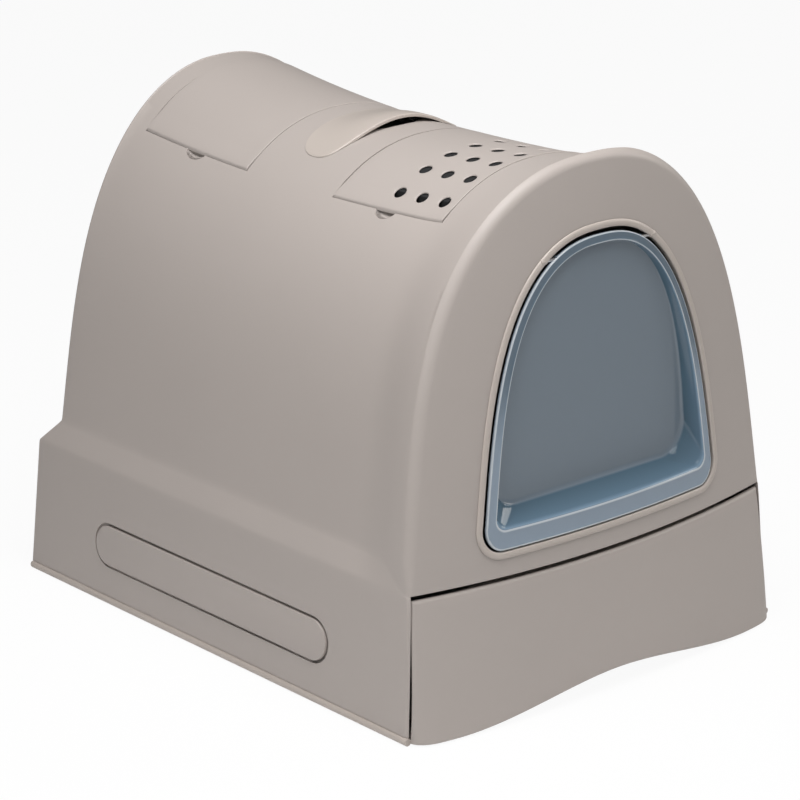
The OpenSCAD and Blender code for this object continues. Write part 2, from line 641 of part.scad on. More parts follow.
module drawer_tray() color(dark_grey) {
    floor_z = 3.9 + seat;
    difference() {
        union() {
            rounded_box(tray_x - 2, tray_front_y, tray_rear_y, floor_z, tray_top, 26);
            rounded_box(tray_x, tray_front_y - 2, tray_rear_y + 2, tray_top - 4, tray_top, 28);
            for (x = peg_xs) rod_y(x, tray_front_y - 9, tray_front_y + 1, peg_z, 6);
        }
        rounded_box(tray_x - 2 - tray_wall, tray_front_y + tray_wall, tray_rear_y - tray_wall, floor_z
            + tray_wall, tray_top + 1, 24);
        for (x = peg_xs) rod_y(x, tray_front_y - 10, tray_front_y - 0.5, peg_z, 3 + run_fit);
    }
}

// Drawer front: its lower edge, its face, and how far it reaches to each side.
function drawer_edge(x) = drawer_low + grip_rise * ease((grip_x - abs(x)) / grip_x);
function drawer_edge_top(x) = drawer_top + drawer_rise * pow(x * 2 / rim_w, 2);
function drawer_x(z) = skirt_x(z) - skirt_lip - drawer_gap;
function drawer_belly(x) =
    (5.5 + 3.5 * pow(x * 2.42 / rim_w, 2)) * max(0, 1 - pow(abs(x) * 2.05 / rim_w, 30));
function drawer_face(x, z) = front_y0 + front_lean * z - front_bulge * (1 - pow(x * 2 / rim_w, 2))
    - drawer_belly(x) * max(0, drawer_top - z) / drawer_top;
module drawer_front() {
    rows = [0, 0.04, 0.12, 0.3, 0.5, 0.7, 0.86, 0.95, 0.985, 1];
    cols = concat([-1, -0.985, -0.95], split(-0.9, 0.9, 30), [0.95, 0.985, 1]);
    sx = drawer_x(drawer_top) - 15;
    function spot(c, r) =
        let (x0 = c * drawer_x(0), zl = drawer_edge(x0), z = zl + (drawer_edge_top(x0) - zl) * r)
        [c * drawer_x(z), z];
    function roll(c, r) = 2.2 * (1 - sqrt(max(0, 1 - pow(max(0, (abs(c) - 0.985) / 0.015), 2))))
        + 2.6 * (1 - sqrt(max(0, 1 - pow(max(0, (r - 0.95) / 0.05), 2))));
    color(grey) sheet(
        [for (c = cols) [for (r = rows) let (p = spot(c, r)) [p[0], drawer_face(p[0], p[1])
            + min(2.2, roll(c, r)), p[1]]]],
        [for (c = cols) [for (r = rows) let (p = spot(c, r)) [p[0], drawer_face(p[0], p[1])
            + drawer_front_t, p[1]]]]);
    color(grey) translate([0, 0, drawer_top - 6]) linear_extrude(2.4) polygon(concat(
        [for (x = split(-sx, sx, 12)) [x, drawer_face(x, drawer_top) + 1.2]],
        [[sx, tray_front_y - 3], [-sx, tray_front_y - 3]]));
    color(grey) for (x = peg_xs) rod_y(x, drawer_face(x, peg_z) + 1.5, tray_front_y - 1, peg_z, 3);
}

module door_frame() color(pale_grey) {
    // Section of the ring: distance out from the door's edge, distance back from the front face.
    section = [[door_gap, 3.4], [door_gap, -0.3], [door_gap + 0.8, -0.68 * frame_proud],
        [door_gap + 0.42 * frame_w, -frame_proud], [door_gap + 0.75 * frame_w, -0.75 * frame_proud],
        [door_gap + frame_w, -seat], [door_gap + frame_w - 3.7, -seat], [door_gap + frame_w - 3.7, 3.4]];
    difference() {
        union() {
            ring_solid([for (s = section) [for (p = door_out(s[0])) [p[0], front_y(p[0], p[1]) + s[1],
                p[1]]]]);
            for (s = [-1, 1]) rod_x(s > 0 ? boss_x0 : -boss_x1, s > 0 ? boss_x1 : -boss_x0, hinge_y,
                hinge_z, boss_r);
        }
        for (s = [-1, 1]) rod_x(s > 0 ? boss_x0 - 5 : 1.2 - boss_x1, s > 0 ? boss_x1 - 1.2 : 5 - boss_x0,
            hinge_y, hinge_z, pin_r + 0.02);
    }
}

module door_hinge_pins() color(steel)
    for (s = [-1, 1]) rod_x(s > 0 ? pin_x0 : 1.3 - boss_x1, s > 0 ? boss_x1 - 1.3 : -pin_x0, hinge_y,
        hinge_z, pin_r);

module door_panel() {
    function lay(o, back) = [for (p = o) [p[0], front_y(p[0], p[1]) + back - door_proud, p[1]]];
    function sink(s, f, back) = [for (p = shrink(s, door_top - 9.4))
        let (y0 = front_y(p[0], p[1]) - door_proud) [p[0], y0 + (pan_y(p[1]) - y0) * f + back, p[1]]];
    barrel_x = door_wide(hinge_z + boss_r) - 0.5;
    color(slate_blue) difference() {
        union() {
            capped_solid([
                sink(1, 1, 0), sink(0.72, 0.93, 0), sink(0.4, 0.7, 0), sink(0.12, 0.2, 0),
                    lay(door_ridge, -0.4),
                lay(door_out(-1), 0), lay(door_loop, 0.7), lay(door_loop, door_t),
                    lay(door_ridge, 0.2 + door_t),
                sink(-0.05, 0.2, door_t), sink(0.3, 0.7, door_t), sink(0.64, 0.93, door_t),
                    sink(0.93, 1, door_t)]);
            for (s = [-1, 1]) rod_x(s > 0 ? pin_x0 - 1.2 : -barrel_x, s > 0 ? barrel_x : 1.2 - pin_x0,
                hinge_y, hinge_z, boss_r);
        }
        for (s = [-1, 1]) rod_x(s > 0 ? pin_x0 : -boss_x0, s > 0 ? boss_x0 : -pin_x0, hinge_y, hinge_z,
            pin_r + run_fit);
    }
}

module lid_barrels(y0, y1) {
    for (k = [[0.12, 0.32], [0.68, 0.88]])
        line_rod(y0, y1, (y1 - y0) * k[0] + 0.4, (y1 - y0) * k[1] - 0.4, barrel_r);
}
module barrel_bore(y0, y1) {
    line_rod(y0, y1, (y1 - y0) * 0.1, (y1 - y0) * 0.9, rod_r + run_fit);
}
module land_room(y0, y1) {
    for (k = [[0, 0.12], [0.32, 0.68], [0.88, 1]])
        line_rod(y0, y1, (y1 - y0) * k[0] - 1, (y1 - y0) * k[1] + (k[1] < 1 ? 0 : 1), barrel_r + 0.6);
}

module vent_lid() color(pale_grey) {
    difference() {
        union() {
            roof_sheet(-lid_x, lid_x, vent_y0, vent_y1, lid_proud, lid_t - lid_proud);
            lid_barrels(vent_y0, vent_y1);
        }
        land_room(vent_y0, vent_y1);
        barrel_bore(vent_y0, vent_y1);
        for (i = [0:vent_rows - 1]) for (j = [-1:1]) {
            x = vent_mid_x + (i - (vent_rows - 1) / 2) * vent_step_x;
            y = vent_mid_y + j * vent_step_y;
            translate([x, y, under_roof]) cylinder(h = 120, r = vent_d / 2, $fn = 48);
        }
    }
    for (s = [-1, 1]) for (y = stud_ys)
        translate([s * stud_x, y, roof_z(stud_x, y) - 11]) cylinder(h = 10, r = stud_r, $fn = 32);
}
module vent_lid_rod() color(steel) line_rod(vent_y0, vent_y1, 2, vent_y1 - vent_y0 - 2, rod_r);

stud_x = lid_x - 13.5;
stud_ys = [vent_mid_y - vent_step_y / 2, vent_y1 - 15];
stud_r = 2.5;
filter_x = lid_x - 17.5;
filter_in = 13;
grille_x = lid_x - 10.5;
grille_in = 11;
module carbon_filter() color(black)
    roof_sheet(-filter_x, filter_x, vent_y0 + filter_in, vent_y1 - filter_in,
        lid_proud - lid_t - seat, lid_t - lid_proud + seat + filter_t, 24, 8);
module filter_grille() color(dark_grey) {
    depth = lid_t - lid_proud + 2 * seat + filter_t;
    step = 2 * filter_x / 7;
    difference() {
        roof_sheet(-grille_x, grille_x, vent_y0 + grille_in, vent_y1 - grille_in, -depth, depth + 2, 24, 8);
        for (i = [-3:3]) translate([i * step - 9, vent_y0 + filter_in + 5, under_roof - 10])
            cube([18, vent_l - 2 * filter_in - 10, 100]);
        for (s = [-1, 1]) for (y = stud_ys)
            translate([s * stud_x, y, under_roof]) cylinder(h = 80, r = stud_r + run_fit, $fn = 32);
    }
}

module rear_lid() color(pale_grey) difference() {
    union() {
        roof_sheet(-lid_x, lid_x, rear_y0, rear_y1, lid_proud, lid_t - lid_proud);
        lid_barrels(rear_y0, rear_y1);
    }
    land_room(rear_y0, rear_y1);
    barrel_bore(rear_y0, rear_y1);
}
module rear_lid_rod() color(steel) line_rod(rear_y0, rear_y1, 2, rear_y1 - rear_y0 - 2, rod_r);

module storage_bin() color(dark_grey) {
    top = lid_t - lid_proud + seat;
    wx = lid_x - ledge_w - 1;
    y0 = rear_y0 + ledge_w + 1;
    y1 = rear_y1 - ledge_w - 1;
    difference() {
        union() {
            roof_block(-wx, wx, y0, y1, top + 1.2, bin_z);
            roof_sheet(-lid_x + 1, lid_x - 1, rear_y0 + 1, rear_y1 - 1, -top, top + 2.6);
        }
        translate([-wx + 2.2, y0 + 2.2, bin_z + 2.2]) cube([2 * (wx - 2.2), y1 - y0 - 4.4, 100]);
        knuckle_room(rear_y0, rear_y1);
    }
}

// Carry handle: a lip that is raised at the front and runs out into the roof at the rear.
function handle_front(x) = handle_mid_y
    - (handle_mid_y + 3) * pow(max(0, 1 - pow(abs(x) / handle_x, 16)), 0.45)
    - 9 * (1 - pow(x / handle_x, 2));
function handle_back(x) = handle_mid_y + 1
    + (handle_rear_y - handle_mid_y - 1) * pow(max(0, 1 - pow(abs(x) / handle_x, 4)), 0.45);
function lift(x, s) = handle_rise * pow(max(0, cos(90 * x / 60)), 1.5) * (abs(x) < 60 ? 1 : 0) * (1
    - ease(s * 1.05 - 0.15));
module carry_handle() {
    xs = concat([-1, -0.99, -0.965, -0.93, -0.88], split(-0.8, 0.8, 20), [0.88, 0.93, 0.965, 0.99, 1]);
    ss = [0, 0.03, 0.08, 0.16, 0.3, 0.45, 0.6, 0.75, 0.9, 0.97, 1];
    function rim(c, s) = (1 - sqrt(max(0, 1 - pow(max(0, 1 - s / 0.08), 2))))
        + (abs(c) > 0.965 ? (abs(c) - 0.965) / 0.035 : 0);
    function upper(x, c, s) = max(0.7, handle_proud * (1 - 0.5 * s) - 0.8 * rim(c, s)) + lift(x, s);
    color(pale_grey) difference() {
        union() {
            sheet([for (c = xs) [for (s = ss) let (x = c * handle_x, y = handle_front(x)
                + (handle_back(x) - handle_front(x)) * s)
                    [x, y, roof_z(x, y) + upper(x, c, s)]]],
                [for (c = xs) [for (s = ss) let (x = c * handle_x, y = handle_front(x)
                    + (handle_back(x) - handle_front(x)) * s)
                    [x, y, roof_z(x, y) + max(seat, upper(x, c, s) - lip_t)]]]);
            for (p = handle_posts) translate([p[0], p[1], roof_z(p[0], p[1]) - 9])
                cylinder(h = 9.8, r = 4, $fn = 48);
        }
        for (p = handle_posts) translate([p[0], p[1], roof_z(p[0], p[1]) - 10])
            cylinder(h = 8.5, r = screw_r + run_fit, $fn = 48);
    }
}
module handle_screws() color(steel) {
    for (p = handle_posts) translate([p[0], p[1], roof_z(p[0], p[1]) - 12 - seat]) difference() {
        union() {
            translate([0, 0, -2.4]) cylinder(h = 2.4, r = 6.5, $fn = 48);
            cylinder(h = 9, r = screw_r, $fn = 48);
        }
        translate([0, 0, -3]) cylinder(h = 2, r = 2, $fn = 6);
    }
}

base_tray();
hood_shell();
base_screws();
drawer_tray();
drawer_front();
door_frame();
door_panel();
door_hinge_pins();
vent_lid();
vent_lid_rod();
carbon_filter();
filter_grille();
rear_lid();
rear_lid_rod();
storage_bin();
carry_handle();
handle_screws();
side_insert_left();
side_insert_right();
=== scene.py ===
"""Looks of the covered litter box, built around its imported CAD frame.

Shapes are worked out in millimetres from the same driving sizes as the CAD part and written
to meshes in metres. Front is -Y, up is +Z, the origin is on the floor.
"""

import math

import bmesh
import bpy
import numpy as np
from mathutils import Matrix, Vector


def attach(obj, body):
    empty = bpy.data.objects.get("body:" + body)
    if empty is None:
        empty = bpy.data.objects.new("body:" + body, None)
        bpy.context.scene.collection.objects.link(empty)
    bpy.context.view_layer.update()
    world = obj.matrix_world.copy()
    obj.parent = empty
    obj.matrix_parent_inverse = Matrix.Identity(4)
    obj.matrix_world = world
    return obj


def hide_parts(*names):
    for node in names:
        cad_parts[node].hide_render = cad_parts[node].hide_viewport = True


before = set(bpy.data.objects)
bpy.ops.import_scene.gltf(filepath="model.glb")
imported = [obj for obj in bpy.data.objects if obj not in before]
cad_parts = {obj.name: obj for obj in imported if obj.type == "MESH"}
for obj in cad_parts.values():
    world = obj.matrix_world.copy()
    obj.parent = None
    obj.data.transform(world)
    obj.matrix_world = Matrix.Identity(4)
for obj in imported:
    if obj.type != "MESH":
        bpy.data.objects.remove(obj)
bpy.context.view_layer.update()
MM = 0.001

# Driving sizes, millimetres. The hood comes first.
RIM_W, RIM_D = 400.0, 488.7
BEAD_R = 3.0
ROOF_LOW = 405.6
WALL = 3.0
SKIRT_IN = 2.1
SHOULDER_X, SHOULDER_Z, SHOULDER_REAR = 191.0, 116.5, 236.6
CREASE_Z = 137.0
SHOULDER_SOFT, CREASE_SOFT_LOW, CREASE_SOFT_HIGH = 3.0, 3.5, 5.0
ARCH_X, ARCH_X_FRONT = 181.9, 190.3
LEAN_FRONT, LEAN_REAR = 0.125, 0.17
ARCH_POWER, CROWN_POWER = 3.6, 2.18
SADDLE_FRONT, SADDLE_REAR = 0.00019, 0.000385
BROW_RISE, BROW_LENGTH, BROW_IN = 12.0, 95.0, 9.35
CROWN_Z, CROWN_SQUEEZE = 422.0, 0.81
REAR_WALL, REAR_LEAN = 216.9, 0.021
FRONT_STATION, LAST_STATION_IN = -222.0, 5.0
FRONT_LEAN, FRONT_BULGE, FRONT_HOLLOW = 0.08, 21.54, 17.8
FRONT_EDGE_R, LOW_EDGE_R, REAR_EDGE_R = 7.5, 2.5, 4.0
SEAM_Z, SEAM_RISE, SEAM_IN, SKIRT_LIP = 115.5, 2.5, 10.7, 2.2
SEAT = 0.3

# Door, its frame and its hinge.
DOOR_Z, DOOR_TOP, DOOR_X, DOOR_LEAN = 138.2, 366.4, 125.0, 0.1156
DOOR_POWER, DOOR_CROWN, DOOR_CORNER_R = 3.4, 2.45, 17.0
FLANGE_W, PAN_DEPTH, PAN_DEPTH_TOP, DOOR_T = 10.0, 24.0, 4.0, 2.2
PAN_LOW_IN, PAN_TOP_IN, PAN_TAPER_X, PAN_TAPER_Z = 16.0, 9.0, 0.09, 0.07
RIDGE_IN, RIDGE_OUT, RIDGE_R, SOFT_RIDGE_R = 5.5, 1.5, 9.0, 27.0
DOOR_PROUD, DOOR_GAP, FRAME_W, FRAME_PROUD, FRAME_LAP = 1.2, 2.1, 5.5, 1.9, 3.4
HINGE_Z, HINGE_BACK, BOSS_R, BOSS_L, PIVOT_Z = 353.3, 3.163, 2.4, 6.0, 357.0

# Drawer front.
DRAWER_TOP, DRAWER_RISE, DRAWER_GAP, DRAWER_T, DRAWER_LOW = 111.3, 2.2, 1.3, 3.0, 1.3
BELLY, BELLY_SIDE, LEDGE_T, LEDGE_DROP = 5.5, 3.5, 2.4, 3.6
GRIP_RISE, GRIP_X = 15.4, 160.0

# Roof lids, their seats, hinges, holes and finger scoops.
LID_X, LID_PROUD, LID_T, LID_GAP, LEDGE_W = 97.5, 1.5, 3.0, 0.6, 9.0
LINE_GAP, LID_LEVEL, LID_RAISED_W = 0.5, 0.15, 16.0
PAD_W, VENT_PAD_T, REAR_PAD_T, BIN_FLANGE_T = 7.0, 7.0, 9.5, 2.6
VENT_Y, REAR_Y = (-169.5, -41.5), (65.5, 198.0)
VENT_SCOOP_Y, REAR_SCOOP_Y = -104.0, 131.0
LID_HINGE_X, LID_HINGE_DROP, BARREL_R = 100.5, 0.4, 3.1
KNUCKLES = ((0.12, 0.32), (0.68, 0.88))
LANDS = ((0.04, 0.12), (0.32, 0.68), (0.88, 0.96))
VENT_D, VENT_STEP_X, VENT_STEP_Y = 11.0, 26.2, 25.5
VENT_MID_X, VENT_MID_Y, VENT_ROWS = -4.0, -129.3, 7
SCOOP_W, SCOOP_REACH, SCOOP_DEPTH = 12.5, 6.5, 7.0

# Carry handle and side inserts.
HANDLE_X, HANDLE_MID, HANDLE_REAR = 73.0, 11.0, 41.0
HANDLE_PROUD, HANDLE_RISE, LIP_T = 1.6, 7.0, 4.0
INSERT_L, INSERT_H, INSERT_Z, INSERT_Y, INSERT_T, INSERT_GAP = 296.6, 33.6, 50.8, 2.9, 2.4, 0.8
INSERT_SLOPE, INSERT_SEAT_GROW, INSERT_BACK_GROW, INSERT_BACK_T = 0.077, 5.0, 8.0, 7.0

# The door's zones, from the panel's own colour at 0 to the painted highlight of the crest line and the
# door's edge near 1; the crest's top and the flange get painted light between.
ZONE_PANEL, ZONE_WALL, ZONE_BACK, ZONE_CREST, ZONE_CREST_HIGHLIGHT, ZONE_PAINTED_HIGHLIGHT = 0.0, 0.2, 0.33, 0.36, 0.48, 0.96

# Camera, metres and degrees.
CAMERA_AT, CAMERA_AZIMUTH, CAMERA_RISE = (-1.7578, -2.0159, 1.0904), -41.2218, 19.0028
SENSOR, LENS = 36.0, 153.994

# Worked out from the sizes.
FRONT_Y0 = -RIM_D / 2
SKIRT_X0 = RIM_W / 2 - SKIRT_IN
SKIRT_SLOPE = (SKIRT_X0 - SHOULDER_X) / SHOULDER_Z
SKIRT_REAR_SLOPE = (RIM_D / 2 - SHOULDER_REAR) / SHOULDER_Z
SKIRT_LOW = 2 * BEAD_R + SEAT
STATION_SPAN = REAR_WALL - FRONT_STATION - LAST_STATION_IN
BROW_END = FRONT_Y0 + BROW_IN + BROW_LENGTH


# The hood's own form.
def ease(s):
    """A smooth step from 0 to 1."""
    c = np.clip(s, 0, 1)
    return c * c * (3 - 2 * c)


def skirt_x(z):
    return SKIRT_X0 - SKIRT_SLOPE * z


def ridge(y):
    """Height of the roof's middle line, low at the handle and highest at the brow."""
    saddle = np.where(np.asarray(y) > 0, SADDLE_REAR, SADDLE_FRONT)
    brow = np.maximum(0, BROW_END - np.asarray(y)) / BROW_LENGTH
    return ROOF_LOW + saddle * np.square(y) + BROW_RISE * brow**2


def arch_width(y):
    return ARCH_X + (ARCH_X_FRONT - ARCH_X) * ease((-165 - np.asarray(y)) / 60)


def crease(y):
    return CREASE_Z - (CREASE_Z - SHOULDER_Z - 0.6) * ease((-192 - np.asarray(y)) / 35)


def arch_lean(y):
    share = np.clip((np.asarray(y) - FRONT_STATION) / STATION_SPAN, 0, 1)
    return LEAN_FRONT + (LEAN_REAR - LEAN_FRONT) * share


def arch_half(t, y):
    """Half width of the arch at share t of its height."""
    side = arch_width(y) - arch_lean(y) * (ridge(y) - CREASE_Z) * t
    return side * np.maximum(0, 1 - np.power(np.maximum(t, 0), ARCH_POWER)) ** (1 / CROWN_POWER)


def roof_z(x, y):
    """Height of the roof over a point, found by halving the arch's share."""
    x, y = np.broadcast_arrays(np.abs(np.asarray(x, float)), np.asarray(y, float))
    lo, hi = np.zeros(x.shape), np.ones(x.shape)
    for _ in range(30):
        mid = (lo + hi) / 2
        wide = arch_half(mid, y) > x
        lo, hi = np.where(wide, mid, lo), np.where(wide, hi, mid)
    return CREASE_Z + (ridge(y) - CREASE_Z) * lo


def front_y(x, z):
    """The bulging, leaning front face."""
    q = (np.asarray(z, float) - 117) / 320
    bulge = FRONT_BULGE * (1 + 0.82 * q) * (1 - np.square(np.asarray(x) * 2 / RIM_W))
    return FRONT_Y0 + FRONT_LEAN * np.asarray(z) - bulge + FRONT_HOLLOW * q * q


def bend(corner, before, after, reach_in, reach_out, n):
    """Points of a soft corner between two straight runs."""
    a = corner + (before - corner) / np.linalg.norm(before - corner) * reach_in
    b = corner + (after - corner) / np.linalg.norm(after - corner) * reach_out
    s = np.linspace(0, 1, n)[:, None]
    return (1 - s) ** 2 * a + 2 * s * (1 - s) * corner + s**2 * b


def outline(y, low, arch_n=84):
    """Half outline of the hood at one station, from the skirt's foot to the ridge."""
    foot = np.array([skirt_x(low), low])
    shoulder = np.array([SHOULDER_X, SHOULDER_Z])
    fold = np.array([min(arch_width(y), SHOULDER_X - 0.3), float(crease(y))])
    h = float(ridge(y))
    t0 = max(0.02, (fold[1] + 12 - CREASE_Z) / (h - CREASE_Z))
    s = np.linspace(0, 1, arch_n)
    t = t0 + (1 - t0) * (1 - (1 - s) ** 2.2)
    arch = np.stack([arch_half(t, y), CREASE_Z + (h - CREASE_Z) * t], 1)
    half_gap = np.linalg.norm(fold - shoulder) * 0.45
    above = 0.8 * np.linalg.norm(arch[0] - fold)
    edge = bend(shoulder, foot, fold, min(SHOULDER_SOFT, half_gap + 0.2), min(SHOULDER_SOFT, half_gap), 6)
    soft = bend(fold, shoulder, arch[0], min(CREASE_SOFT_LOW, half_gap), min(CREASE_SOFT_HIGH, above), 8)
    skirt = foot + (edge[0] - foot) * np.linspace(0, 1, 12)[:-1, None]
    return np.concatenate([skirt, edge, soft, arch])


def inward(p):
    """Unit vectors that point into the hood at each point of half an outline."""
    t = np.empty_like(p)
    t[1:-1] = p[2:] - p[:-2]
    t[0], t[-1] = (0, 1), (-1, 0)
    t /= np.linalg.norm(t, axis=1)[:, None]
    return np.stack([-t[:, 1], t[:, 0]], 1)


def rear_y(p):
    """Rear face of the hood at each point of an outline: the skirt, the bevel, then the arch."""
    z = p[:, 1]
    skirt = RIM_D / 2 - SKIRT_REAR_SLOPE * z
    arch = REAR_WALL + REAR_LEAN * (z - CREASE_Z)
    f = np.clip((z - SHOULDER_Z) / (CREASE_Z - SHOULDER_Z), 0, 1)
    bevel = SHOULDER_REAR + (REAR_WALL - SHOULDER_REAR) * f
    return np.where(z >= CREASE_Z, arch, np.where(z <= SHOULDER_Z, skirt, bevel))


def edge_r(z):
    """Radius of the front edge: small beside the drawer, large on the arch."""
    return LOW_EDGE_R + (FRONT_EDGE_R - LOW_EDGE_R) * ease((z - SEAM_Z + 7) / 34)


def seam(x):
    """Height of the seam over the drawer, which rises to both sides."""
    return SEAM_Z + SEAM_RISE * np.square(np.asarray(x) * 2 / RIM_W)


def back_r(z):
    return REAR_EDGE_R * (0.6 + 0.4 * ease((z - SHOULDER_Z) / 20))


def both(p, y):
    """A whole ring from half an outline and its depths."""
    right = np.stack([p[:, 0], y, p[:, 1]], 1)
    return np.concatenate([right * (-1, 1, 1), right[-2::-1]])


def body_ring(u, inset, low, arch_n=84):
    """The ring at share u of the way from the front face to the rear face."""
    p = outline(FRONT_STATION + u * STATION_SPAN, low, arch_n)
    p = p + inset * inward(p)
    y0 = front_y(p[:, 0], p[:, 1]) + (inset if inset else edge_r(p[:, 1]))
    y1 = rear_y(p) - (inset if inset else back_r(p[:, 1]))
    return both(p, y0 + (y1 - y0) * u)


def rounded_ring(end, a, low):
    """A ring on the rounded front or rear edge, at angle a of its quarter turn."""
    p = outline(FRONT_STATION - 10 if end == "front" else REAR_WALL, low)
    r = (edge_r if end == "front" else back_r)(p[:, 1])
    q = p + (r * (1 - math.cos(a)))[:, None] * inward(p)
    if end == "front":
        return both(q, front_y(q[:, 0], q[:, 1]) + r * (1 - math.sin(a)))
    return both(q, rear_y(p) - r * (1 - math.sin(a)))


def hood_solid(rings, columns, back):
    """Vertices and faces of a solid between rings; its front end follows the front face."""
    n = len(rings[0])
    half = (n - 1) // 2
    last = (len(rings) - 1) * n
    points = [tuple(p) for r in rings for p in r]
    grid = {}
    for j in range(half):
        for c in range(columns + 1):
            if c in (0, columns):
                grid[j, c] = j if c == 0 else n - 1 - j
                continue
            x, z = rings[0][j][0] * (1 - 2 * c / columns), rings[0][j][2]
            grid[j, c] = len(points)
            points.append((x, float(front_y(x, z)) + back, z))
    faces = []
    for r in range(len(rings) - 1):
        for i in range(n - 1):
            a = r * n + i
            faces.append((a, a + n, a + n + 1, a + 1))
        faces.append((r * n + n - 1, r * n + 2 * n - 1, r * n + n, r * n))
    for j in range(half - 1):
        for c in range(columns):
            faces.append((grid[j, c], grid[j + 1, c], grid[j + 1, c + 1], grid[j, c + 1]))
        faces.append((last + j, last + n - 1 - j, last + n - 2 - j, last + j + 1))
    for c in range(columns):
        faces.append((grid[half - 1, c], half, grid[half - 1, c + 1]))
    faces.append(tuple(grid[0, c] for c in range(columns + 1)))
    faces.append((last + half - 1, last + half + 1, last + half))
    return points, faces


# Mesh helpers.
def make(name, points, faces):
    mesh = bpy.data.meshes.new(name)
    mesh.from_pydata([Vector(p) * MM for p in points], [], faces)
    bm = bmesh.new()
    bm.from_mesh(mesh)
    bmesh.ops.remove_doubles(bm, verts=bm.verts, dist=1e-7)
    bmesh.ops.recalc_face_normals(bm, faces=bm.faces)
    bm.to_mesh(mesh)
    bm.free()
    obj = bpy.data.objects.new(name, mesh)
    bpy.context.scene.collection.objects.link(obj)
    return obj


def smooth(obj, angle=32):
    obj.data.shade_smooth()
    obj.data.set_sharp_from_angle(angle=math.radians(angle))


def boolean(obj, tool, operation):
    mod = obj.modifiers.new("cut", "BOOLEAN")
    mod.operation, mod.object, mod.solver = operation, tool, "MANIFOLD"
    dg = bpy.context.evaluated_depsgraph_get()
    mesh = bpy.data.meshes.new_from_object(obj.evaluated_get(dg))
    obj.modifiers.clear()
    old = obj.data
    obj.data = mesh
    bpy.data.meshes.remove(old)
    bpy.data.objects.remove(tool)


def cut(obj, *tools):
    for tool in tools:
        boolean(obj, tool, "DIFFERENCE")


def join(name, parts):
    """One object from several, their meshes laid side by side."""
    bm = bmesh.new()
    for part in parts:
        bm.from_mesh(part.data)
        bpy.data.objects.remove(part)
    mesh = bpy.data.meshes.new(name)
    bm.to_mesh(mesh)
    bm.free()
    obj = bpy.data.objects.new(name, mesh)
    bpy.context.scene.collection.objects.link(obj)
    return obj


def sheet(name, top, low):
    """A closed sheet between two grids of points of the same size."""
    m, n = top.shape[:2]
    points = [tuple(p) for p in top.reshape(-1, 3)] + [tuple(p) for p in low.reshape(-1, 3)]
    k = m * n
    faces = []
    for i in range(m - 1):
        for j in range(n - 1):
            a, b, c, d = i * n + j, i * n + j + 1, (i + 1) * n + j + 1, (i + 1) * n + j
            faces += [(a, b, c, d), (k + a, k + d, k + c, k + b)]
        faces += [(i * n, (i + 1) * n, k + (i + 1) * n, k + i * n)]
        faces += [(i * n + n - 1, k + i * n + n - 1, k + (i + 1) * n + n - 1, (i + 1) * n + n - 1)]
    for j in range(n - 1):
        faces += [(j, k + j, k + j + 1, j + 1)]
        e = (m - 1) * n + j
        faces += [(e, e + 1, k + e + 1, k + e)]
    return make(name, points, faces)


def roof_sheet(name, x0, x1, y0, y1, up, down, nx=60, ny=24):
    x, y = np.meshgrid(np.linspace(x0, x1, nx), np.linspace(y0, y1, ny), indexing="ij")
    z = roof_z(x, y)
    return sheet(name, np.stack([x, y, z + up], -1), np.stack([x, y, z - down], -1))


def prism(name, loop, axis, a, b):
    """A prism over a closed loop: in the X-Z plane along Y, or in the X-Y plane along Z."""
    def at(p, d):
        return (p[0], d, p[1]) if axis == "y" else (p[0], p[1], d)
    n = len(loop)
    points = [at(p, a) for p in loop] + [at(p, b) for p in loop]
    faces = [(i, (i + 1) % n, n + (i + 1) % n, n + i) for i in range(n)]
    return make(name, points, faces + [tuple(range(n)), tuple(range(2 * n - 1, n - 1, -1))])


def turned(name, start, end, radii, n=40):
    """A round piece on the line start-end; radii are (share of length, radius) pairs."""
    start, end = np.array(start, float), np.array(end, float)
    along = (end - start) / np.linalg.norm(end - start)
    side = np.cross(along, (0.3, 0.2, 0.9))
    side /= np.linalg.norm(side)
    up = np.cross(along, side)
    points, faces = [], []
    for share, r in radii:
        middle = start + (end - start) * share
        for i in range(n):
            a = 2 * math.pi * i / n
            points.append(tuple(middle + r * (side * math.cos(a) + up * math.sin(a))))
    for k in range(len(radii) - 1):
        for i in range(n):
            j = (i + 1) % n
            faces.append((k * n + i, k * n + j, (k + 1) * n + j, (k + 1) * n + i))
    m = len(radii) - 1
    faces += [tuple(range(n)), tuple(m * n + i for i in range(n - 1, -1, -1))]
    return make(name, points, faces)


